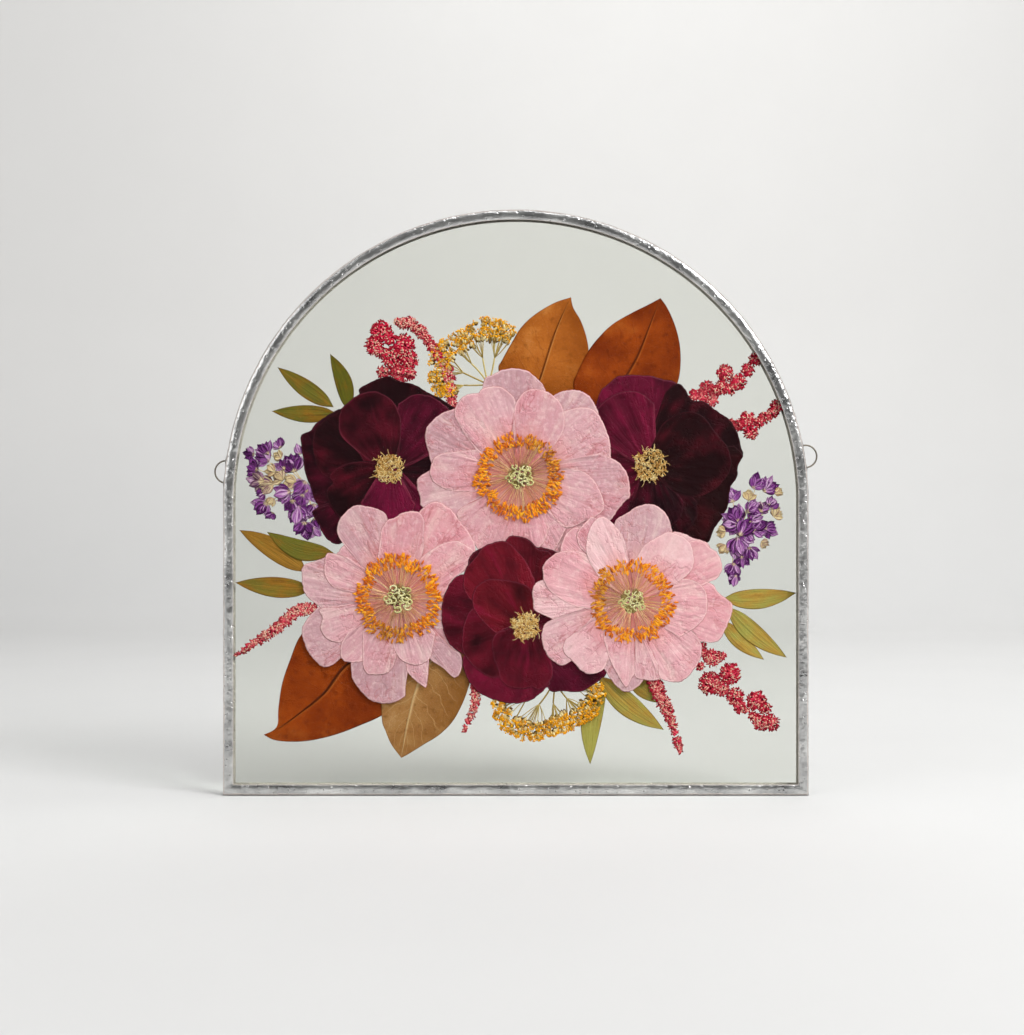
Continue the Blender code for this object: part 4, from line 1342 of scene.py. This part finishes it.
def makeYarrow(node, plan, finish):
    rng = np.random.default_rng(sum(ord(letter) for letter in node))
    count = plan["buds"]
    foot = np.array(plan["foot"], float)
    line = smoothLine(plan["rim"], 200)
    chosen = rng.integers(0, 200, count)
    rim = line[chosen]
    inward = (foot - rim) / np.linalg.norm(foot - rim, axis=1)[:, None]
    depth = plan["deep"] * rng.random(count) ** 1.25
    ragged = 1 + wobble(chosen / 200, rng, (4, 9, 15), 0.8)
    spot = rim + inward * (depth + ragged)[:, None] + rng.normal(0, 0.35, (count, 2))
    heading = np.arctan2(-inward[:, 1], -inward[:, 0]) + rng.normal(0, 0.5, count)
    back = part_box(node)[1].y - 0.1 * mm
    front = frontRoom(spot[:, 0] * mm, spot[:, 1] * mm) + 0.3 * mm
    room = np.minimum(back - front, yarrowPlan["room"])
    y = back - room * rng.uniform(0.1, 1, count)
    centres = stand(spot * mm, y)
    size = rng.uniform(0.8, 1.15, count)
    deep = np.minimum(1.0 * mm, room * 0.7 + 0.1 * mm)
    tipMark = np.clip(getPoints(grain)[:, 2] * 2, -1, 1)
    wide, long = yarrowPlan["bud"]
    husks = copyMany(grain, "husks", scatterCopies(
        grain, centres, heading, wide * size, deep, long * size),
        kind=np.tile(tipMark * 0.6, (count, 1)) + plan["gold"] * 0.4, light=rng.random(count))
    # flat dark shapes behind the buds, a little towards the foot: painted shadow in the gaps
    # between them
    shift = rng.normal(0, 0.4, (count, 3)) + 0.4 * np.insert(inward, 1, 0, 1)
    wide, thin, long = yarrowPlan["shadow"]
    shadows = copyMany(fineGrain, "shadows", scatterCopies(
        fineGrain, centres * [1, 0, 1] + [0, back, 0] + shift * [mm, 0, mm],
        heading, wide * size, thin, long * size),
        kind=np.full(count, 2.0), light=rng.random(count))
    florets = []
    wide, long = yarrowPlan["floret"]
    for turn in yarrowPlan["floretTurns"]:  # small florets at the tip of each bud
        way = heading + turn + rng.normal(0, 0.2, count)
        ahead = np.stack([np.cos(way), 0 * way - 0.16, np.sin(way)], -1)
        florets.append(copyMany(fineGrain, "florets", scatterCopies(
            fineGrain, centres + ahead * (1.3 * mm * size)[:, None], way,
            wide * size, deep * 0.9, long * size),
            kind=np.full(count, 1.0), light=rng.random(count)))
    stems = yarrowPlan["stalks"]
    picked = rng.choice(count, stems, replace=False)
    ends = spot[picked]
    # the stalks fork from a few main ones
    forks = np.array([foot + (line[int(200 * t)] - foot) * yarrowPlan["forkReach"]
                      for t in yarrowPlan["forksAt"]])
    nearest = np.argmin(np.linalg.norm(ends[:, None] - forks[None], axis=2), axis=1)
    starts = forks[nearest]
    first = np.vstack([starts, np.tile(foot, (len(forks), 1))])
    last = np.vstack([ends, forks])
    middle = (first + last) / 2 + rng.normal(0, 0.9, first.shape)
    stalkY = np.full(len(first), back) - 0.05 * mm
    paths = np.stack([stand(spots * mm, stalkY) for spots in (first, middle, last)], 1)
    wide = np.where(np.arange(len(first)) < stems, yarrowPlan["stalk"], yarrowPlan["mainStalk"])
    stalks = copyMany(thread, "stalks",
                      alongStrands(thread, paths, wide, np.minimum(wide, 0.25 * mm)),
                      kind=np.full(len(first), -1.0), light=rng.random(len(first)))
    whole = joinPieces([husks, shadows, stalks] + florets, f"{node}_pressed")
    return settle(whole, node, finish)


def yarrowFinish():
    finish = Finish("yarrow heads", {"Specular IOR Level": 0.25})
    light, kind = finish.read("light"), finish.read("kind")
    patch = finish.noise(finish.place(), 1000.0, 2.0)
    husk = finish.ramp(light * 0.8 + patch * 0.3, (0.0, 104, 70, 24), (0.4, 182, 146, 76),
                       (1.0, 236, 218, 168))
    gold = finish.ramp(light * 0.8 + patch * 0.3, (0.0, 138, 72, 2), (0.3, 220, 142, 4),
                       (1.0, 250, 186, 22))
    stalk = finish.ramp(light * 0.7 + patch * 0.4, (0.0, 128, 98, 40), (0.6, 176, 150, 78),
                        (1.0, 208, 190, 128))
    colour = finish.blend(finish.fade(kind, 0.25, 0.6), husk, gold)
    colour = finish.layers(colour, [
        (finish.fade(kind, -0.6, -0.9), stalk),
        # painted shadow: the dark shapes behind the buds
        (finish.fade(kind, 1.4, 1.8), tint(100, 68, 26)),
    ])
    return finish.done(colour=colour, roughness=0.62 + patch * 0.2,
                       normal=finish.bump(patch, 0.2 * mm))


# florets of each cluster: x, z, size in millimetres, and 0 for purple to 1 for cream
larkspurs = {
    "larkspur_left": {"stem": (-110, 162), "florets": [
        (-132, 180, 5.5, 0), (-124, 183, 3.5, 0), (-132, 175.5, 5, 0), (-139, 178, 3.5, 0),
        (-138, 171, 5, 0), (-136, 164, 6, .45), (-130, 161, 5, .6), (-133, 156, 3, .1),
        (-133, 150, 5.5, 0), (-128, 145, 3.5, 0), (-122, 157, 6, 0), (-123, 171, 4, .2),
        (-117, 173, 6.5, 0), (-113, 180, 3.5, 0), (-106, 148, 5, 0), (-107, 156, 5, .1),
        (-104, 141, 4.5, 0), (-117, 150, 5, .1), (-112, 160, 5.5, 0), (-113, 153, 5.5, 0),
        (-113, 146, 6, 0), (-110, 138, 5.5, 0), (-106, 136, 4.5, 0), (-124, 177, 3, 1),
        (-128, 153, 3, 1), (-124, 166, 4.5, .7), (-118, 163, 4.5, .8), (-128, 169, 3.5, .8)]},
    "larkspur_right": {"stem": (116, 137), "florets": [
        (126, 163, 5.5, 0), (132, 161, 5.5, 0), (122, 156, 3.5, 1), (137, 158, 3, .8),
        (124, 149, 5, 0), (133, 153, 3, 0), (135, 150, 3, 0), (136, 147, 3.5, .8),
        (113, 156, 4.5, 0), (114, 147, 6.5, 0), (112, 141, 5.5, 0), (119, 140, 7.5, 0),
        (127, 139, 5.5, 0), (133, 138, 4.5, 0), (117, 129, 7, 0), (118, 121, 4.5, 0),
        (123, 126, 4.5, 0), (130, 131, 3, .7), (107, 137, 3, 1), (108, 128, 3.5, 1),
        (113, 117, 5, 0), (114, 112, 3.5, 0), (125, 144, 5, .2), (129, 150, 4, .3),
        (106, 149, 3.5, .1), (121, 134, 5, .1)]},
}


larkspurPlan = {
    "petals": (8, 12), "spread": 0.85,  # petals in a floret's fan, and half its angle
    "long": (1.15, 1.85), "wide": (0.6, 1.15), "depth": 0.9 * mm, "stalk": (0.28 * mm, 0.1 * mm),
}


def makeLarkspur(node, plan, finish):
    # each floret is a fan of narrow petals that opens away from the stem
    rng = np.random.default_rng(len(node) * 7)
    model = start(bpy.ops.mesh.primitive_grid_add, "floret", x_subdivisions=8, y_subdivisions=9,
                  size=1)
    points = getPoints(model)
    u, v = points[:, 0] * 2, points[:, 1] + 0.5
    widthAt = lambda share: 0.04 + 0.25 * np.sin(math.pi * share ** 1.35) ** 0.85 + 0.02 * share
    tip = v * (1 - 0.10 * u ** 2 - 0.05 * np.cos(u * 9) * v)
    setPoints(model, np.stack([u * widthAt(v), 0.5 * v * np.cos(u * 4.5) * (1 - 0.4 * v), tip], 1))
    applyModifier(model, "SOLIDIFY", thickness=0.03, offset=0.0)
    corners = getPoints(model)
    down = np.clip(corners[:, 2], 0, 1)
    over = corners[:, 0] / widthAt(down)
    stem = np.array(plan["stem"], float)
    feet, turns, sizes, cream = [], [], [], []
    for x, z, size, light in plan["florets"]:
        away = math.atan2(z - stem[1], x - stem[0]) + rng.normal(0, 0.25)
        count, spread = int(rng.integers(*larkspurPlan["petals"])), larkspurPlan["spread"]
        for turn in np.linspace(-spread, spread, count) + rng.normal(0, 0.12, count):
            feet.append((x - size * 0.75 * math.cos(away), z - size * 0.75 * math.sin(away)))
            turns.append(away + turn)
            sizes.append(size * rng.uniform(*larkspurPlan["long"]) * (1 - 0.22 * abs(turn)))
            cream.append(light + rng.normal(0, 0.06))
    feet, sizes, turns = np.array(feet), np.array(sizes), np.array(turns)
    order = rng.permutation(len(feet))
    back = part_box(node)[1].y - 0.12 * mm
    front = np.minimum(np.maximum(frontRoom(feet[:, 0] * mm, feet[:, 1] * mm),
                                  -0.4 * mm) + 0.25 * mm,
                       back - 0.1 * mm)
    y = back + (front - back) * order / len(feet)
    wide = sizes * mm * rng.uniform(*larkspurPlan["wide"], len(sizes))
    placed = scatterCopies(model, stand(feet * mm, y), turns,
                           wide, np.minimum(larkspurPlan["depth"], (back - front) * 0.6),
                           sizes * mm)
    petals = copyMany(model, "bloomPetals", placed, light=np.array(cream),
                      blush=rng.random(len(sizes)),
                      along=np.tile(down, (len(sizes), 1)), across=np.tile(over, (len(sizes), 1)),
                      seed=rng.uniform(0, 60, len(sizes)))
    ends = np.array([floret[:2] for floret in plan["florets"][::2]], float)
    middle = (ends + stem) / 2 + rng.normal(0, 1.2, ends.shape)
    stalkY = np.full(len(ends), back + 0.06 * mm)
    paths = np.stack([stand(spots * mm, stalkY)
                      for spots in (np.tile(stem, (len(ends), 1)), middle, ends)], 1)
    count = len(ends)
    stalks = copyMany(thread, "stalks", alongStrands(thread, paths, *larkspurPlan["stalk"], 0.3),
                      light=np.full(count, 0.9), blush=rng.random(count), along=np.zeros(count),
                      across=np.zeros(count), seed=np.zeros(count))
    whole = joinPieces([petals, stalks], f"{node}_pressed")
    bpy.data.objects.remove(model)
    return settle(whole, node, finish)


def larkspurFinish():
    finish = Finish("larkspur petals", {"Specular IOR Level": 0.2})
    light, blush = finish.read("light"), finish.read("blush")
    along, across, seed = finish.read("along"), finish.read("across"), finish.read("seed")
    patch = finish.noise(finish.place(), 650.0, 3.0, 0.0, 0.6)
    streak = finish.noise(finish.point(across * 4.6, along * 1.1), 1.0, 3.0, seed)
    tone = blush * 0.75 - 0.08 + patch * 0.35 + (streak - 0.5) * 2.2
    purple = finish.ramp(tone, (0.0, 56, 8, 58), (0.32, 102, 30, 112), (0.62, 152, 82, 158),
                         (1.0, 218, 178, 214))
    cream = finish.ramp(streak, (0.3, 142, 92, 78), (0.46, 208, 178, 126), (0.72, 240, 228, 196))
    share = light * 0.9 + finish.fade(along, 0.42, 0.08) * 0.55 + (streak - 0.5) * 0.9
    colour = finish.blend(finish.fade(share, 0.28, 0.72), purple, cream)
    dark = finish.fade(abs(across), 0.70, 0.98) * 0.75 + finish.fade(streak, 0.42, 0.30) * 0.45
    colour = finish.blend(dark, colour, finish.blend(light, tint(48, 4, 54), tint(128, 72, 84)))
    return finish.done(colour=colour, roughness=0.6 + patch * 0.2,
                       normal=finish.bump(patch + streak, 0.3 * mm))


def makeSprigs():
    amaranth, yarrow, larkspur = amaranthFinish(), yarrowFinish(), larkspurFinish()
    for node, lobes in tassels.items():
        makeTassel(node, lobes, amaranth)
    for node, plan in yarrows.items():
        makeYarrow(node, plan, yarrow)
    for node, plan in larkspurs.items():
        makeLarkspur(node, plan, larkspur)
    print("sprigs laid")


makeSprigs()


borderPlan = {
    # the section from the inside edge of the front lip round to the back lip:
    # distance in from the outside, and y, in millimetres
    "outside": [(5.8, -3.72), (5.5, -3.98), (4.8, -4.24), (3.8, -4.38), (2.8, -4.38), (1.8, -4.18),
                (0.95, -3.75), (0.35, -3.1), (0.05, -2.2), (0.0, 0.0)],
    "slot": [(0.7, 3.75), (0.7, 1.2), (0.7, -1.2), (0.7, -3.75)],
    "sectionPoints": 36,
    "archSteps": 480, "legCuts": 152, "bottomCuts": 305,
    "swell": 0.24 * mm, "dimple": 0.16 * mm,
    "seam": 0.3 * mm, "seamHalf": 0.7 * mm,  # a raised joint: its height and half its width
    "blob": 0.9 * mm, "blobSize": 2.0 * mm, "blobOff": 6.1 * mm,  # where a loop's end is soldered
    "smoothBelow": 50,             # degrees
}
borderSeams = [(-119, 243), (-127, 234), (-33, 302), (111, 257), (-149.5, 84), (-149.5, 74),
               (149.5, 98), (149.5, 36), (-25, 2.9), (33, 2.9), (96, 2.9)]
archRadius = cadBox[1][2] / 2
loops = {"hang_loop_left": (-1, 168.3), "hang_loop_right": (1, 176.4)}
loopPlan = {"out": 151.15 * mm, "radius": 5.8 * mm, "wire": 0.43 * mm, "bury": 0.9 * mm}


def makeBorder():
    half = smoothLine(borderPlan["outside"], borderPlan["sectionPoints"] // 2)
    outside = np.vstack([half, (half * [1, -1])[::-1][1:]])
    section = np.vstack([outside, borderPlan["slot"]]) * mm
    border = start(bpy.ops.mesh.primitive_circle_add, "solder_border_bead", vertices=len(section),
                   radius=1)
    setPoints(border, np.stack([archRadius - section[:, 0], section[:, 1],
                                np.full(len(section), archRadius)], 1))
    bpy.ops.object.mode_set(mode="EDIT")
    bpy.ops.mesh.select_all(action="SELECT")
    bpy.ops.mesh.spin(steps=borderPlan["archSteps"], angle=math.pi, center=(0, 0, archRadius),
                      axis=(0, 1, 0))
    for side in (-1, 1):           # the two legs, down to the mitred corners
        bpy.ops.object.mode_set(mode="OBJECT")
        points = getPoints(border)
        foot = (np.abs(points[:, 2] - archRadius) < 0.01 * mm) & (points[:, 0] * side > 0)
        selectEdges(border, lambda a, b: foot[a] and foot[b])
        bpy.ops.mesh.extrude_region_move(TRANSFORM_OT_translate={"value": (0, 0, -archRadius)})
        bpy.ops.object.mode_set(mode="OBJECT")
        points = getPoints(border)
        low = np.abs(points[:, 2]) < 0.01 * mm
        points[low, 2] = archRadius - np.abs(points[low, 0])
        points[low, 2] += 1e-7     # keeps this foot apart from z = 0 for the second leg
        setPoints(border, points)
    points = getPoints(border)
    isFoot = points[:, 2] < 7 * mm
    isTop = points[:, 2] > archRadius - 0.01 * mm
    selectEdges(border, lambda a, b: (isFoot[a] and isTop[b]) or (isFoot[b] and isTop[a]))
    bpy.ops.mesh.subdivide(number_cuts=borderPlan["legCuts"])
    bpy.ops.object.mode_set(mode="OBJECT")
    points = getPoints(border)
    onMitre = np.abs(points[:, 2] - (archRadius - np.abs(points[:, 0]))) < 0.002 * mm
    selectEdges(border, lambda a, b: onMitre[a] and onMitre[b])
    bpy.ops.mesh.bridge_edge_loops(number_cuts=borderPlan["bottomCuts"], interpolation="LINEAR",
                                   smoothness=0.0)
    bpy.ops.mesh.select_all(action="SELECT")
    bpy.ops.mesh.remove_doubles(threshold=0.00001)
    bpy.ops.mesh.normals_make_consistent(inside=False)
    bpy.ops.object.mode_set(mode="OBJECT")

    # hand-laid solder: swells, dimples and the odd seam, all cut inwards
    points = getPoints(border)
    normals = np.empty(len(points) * 3)
    border.data.vertex_normals.foreach_get("vector", normals)
    normals = normals.reshape(-1, 3)
    above = points[:, 2] > archRadius
    out = np.where(above, np.hypot(points[:, 0], points[:, 2] - archRadius), 0)
    inset = np.where(above, archRadius - out,
                     np.minimum(archRadius - np.abs(points[:, 0]), points[:, 2]))
    outer = (np.abs(points[:, 1]) > 3.78 * mm) | (inset < 0.55 * mm)
    swell = np.array([noise.noise(Vector(p) * 95) + 0.6 * noise.noise(Vector(p) * 260)
                      for p in points])
    dimple = np.array([noise.noise(Vector(p) * 620) for p in points])
    cut = borderPlan["swell"] * (0.5 + 0.45 * swell) + borderPlan["dimple"] * np.clip(-dimple, 0,
                                                                                      1)
    for x, z in borderSeams:       # raised joints, right across the bead
        far = points[:, (0, 2)] - np.array([x, z]) * mm
        over = np.array([x * mm, max(z * mm - archRadius, 0)]) if z > 5 else np.array([0, 1])
        over = over / np.linalg.norm(over)
        beside = far @ np.array([over[1], -over[0]])
        raised = borderPlan["seam"] * np.exp(-(beside / borderPlan["seamHalf"]) ** 2)
        cut -= raised * (np.abs(far @ over) < 4 * mm)
    cut = np.clip(cut, 0.0, None)
    points -= normals * np.where(outer, cut, 0)[:, None]
    for side, height in loops.values():  # a blob where each end of a loop is soldered on
        for end in (-1, 1):
            blob = np.array([side * (archRadius - 1.4 * mm), 0,
                             height * mm + end * borderPlan["blobOff"]])
            near = np.linalg.norm((points - blob) * [1, 0.8, 1], axis=1)
            grown = np.exp(-(near / borderPlan["blobSize"]) ** 2) * outer
            points[:, 0] += side * borderPlan["blob"] * grown
    setPoints(border, points)
    # the slot's faces are marked to be painted pale and matte instead of metal: painted light
    # where little light reaches
    mark(border, inside=~outer & (np.abs(points[:, 1]) < 3.78 * mm))
    pick(border)
    bpy.ops.object.shade_smooth_by_angle(angle=math.radians(borderPlan["smoothBelow"]))
    return settle(border, "solder_border", solderFinish())


def solderFinish():
    finish = Finish("hand-laid solder", {"Specular IOR Level": 0.5})
    place, inside = finish.place(), finish.read("inside")
    cloud = finish.noise(place, 70.0, 4.0)
    grit = finish.noise(place, 900.0, 3.0, 1.0, 0.6)
    ripple = finish.noise(place, 300.0, 3.0, 2.0)
    pits = finish.cells(place, 380.0)
    dull = finish.noise(place, 160.0, 3.0, 4.0)
    colour = finish.blend(finish.fade(cloud, 0.3, 0.7), tint(178, 178, 178), tint(230, 230, 228))
    colour = finish.layers(colour, [
        (finish.fade(pits, 0.20, 0.05) * 0.7, tint(84, 80, 78)),
        (finish.fade(dull, 0.58, 0.72) * 0.35, tint(140, 136, 133)),
    ])
    colour = finish.shade(colour, grit * 0.3 + 0.85)
    # painted light: the slot's faces pale, matte and rougher, as if lit
    colour = finish.blend(inside, colour, tint(214, 204, 198))
    height = ripple * 1.4 + grit * 0.2 + finish.fade(pits, 0.0, 0.3) * 0.6
    return finish.done(colour=colour, roughness=0.20 + cloud * 0.2 + inside * 0.3,
                       metallic=0.92 - inside * 0.75, normal=finish.bump(height, 0.4 * mm))


def wireFinish():
    finish = Finish("tarnished wire", {"Metallic": 0.9})
    patch = finish.noise(finish.place(), 600.0, 3.0)
    return finish.done(colour=finish.blend(patch, tint(96, 86, 72), tint(168, 160, 148)),
                       roughness=0.3 + patch * 0.3, normal=finish.bump(patch, 0.1 * mm))


def makeLoops():
    finish = wireFinish()
    for node, (side, height) in loops.items():
        centre = np.array([side * loopPlan["out"], 0, height * mm])
        loop = start(bpy.ops.mesh.primitive_torus_add, f"{node}_wire", location=centre,
                     rotation=(math.pi / 2, 0, 0), major_segments=72, minor_segments=14,
                     major_radius=loopPlan["radius"], minor_radius=loopPlan["wire"])
        applyPlace(loop)
        outward = centre - [0, 0, archRadius]
        outward /= np.linalg.norm(outward)
        meets = np.array([0, 0, archRadius]) + outward * (archRadius - loopPlan["bury"])
        bpy.ops.object.mode_set(mode="EDIT")
        bpy.ops.mesh.select_all(action="SELECT")
        bpy.ops.mesh.bisect(plane_co=meets, plane_no=outward, use_fill=True, clear_inner=True)
        bpy.ops.object.mode_set(mode="OBJECT")
        loop.data.shade_smooth()
        settle(loop, node, finish)
    print("border and loops soldered")


makeBorder()
makeLoops()

for spare in (thread, fineGrain, grain):
    bpy.data.objects.remove(spare)
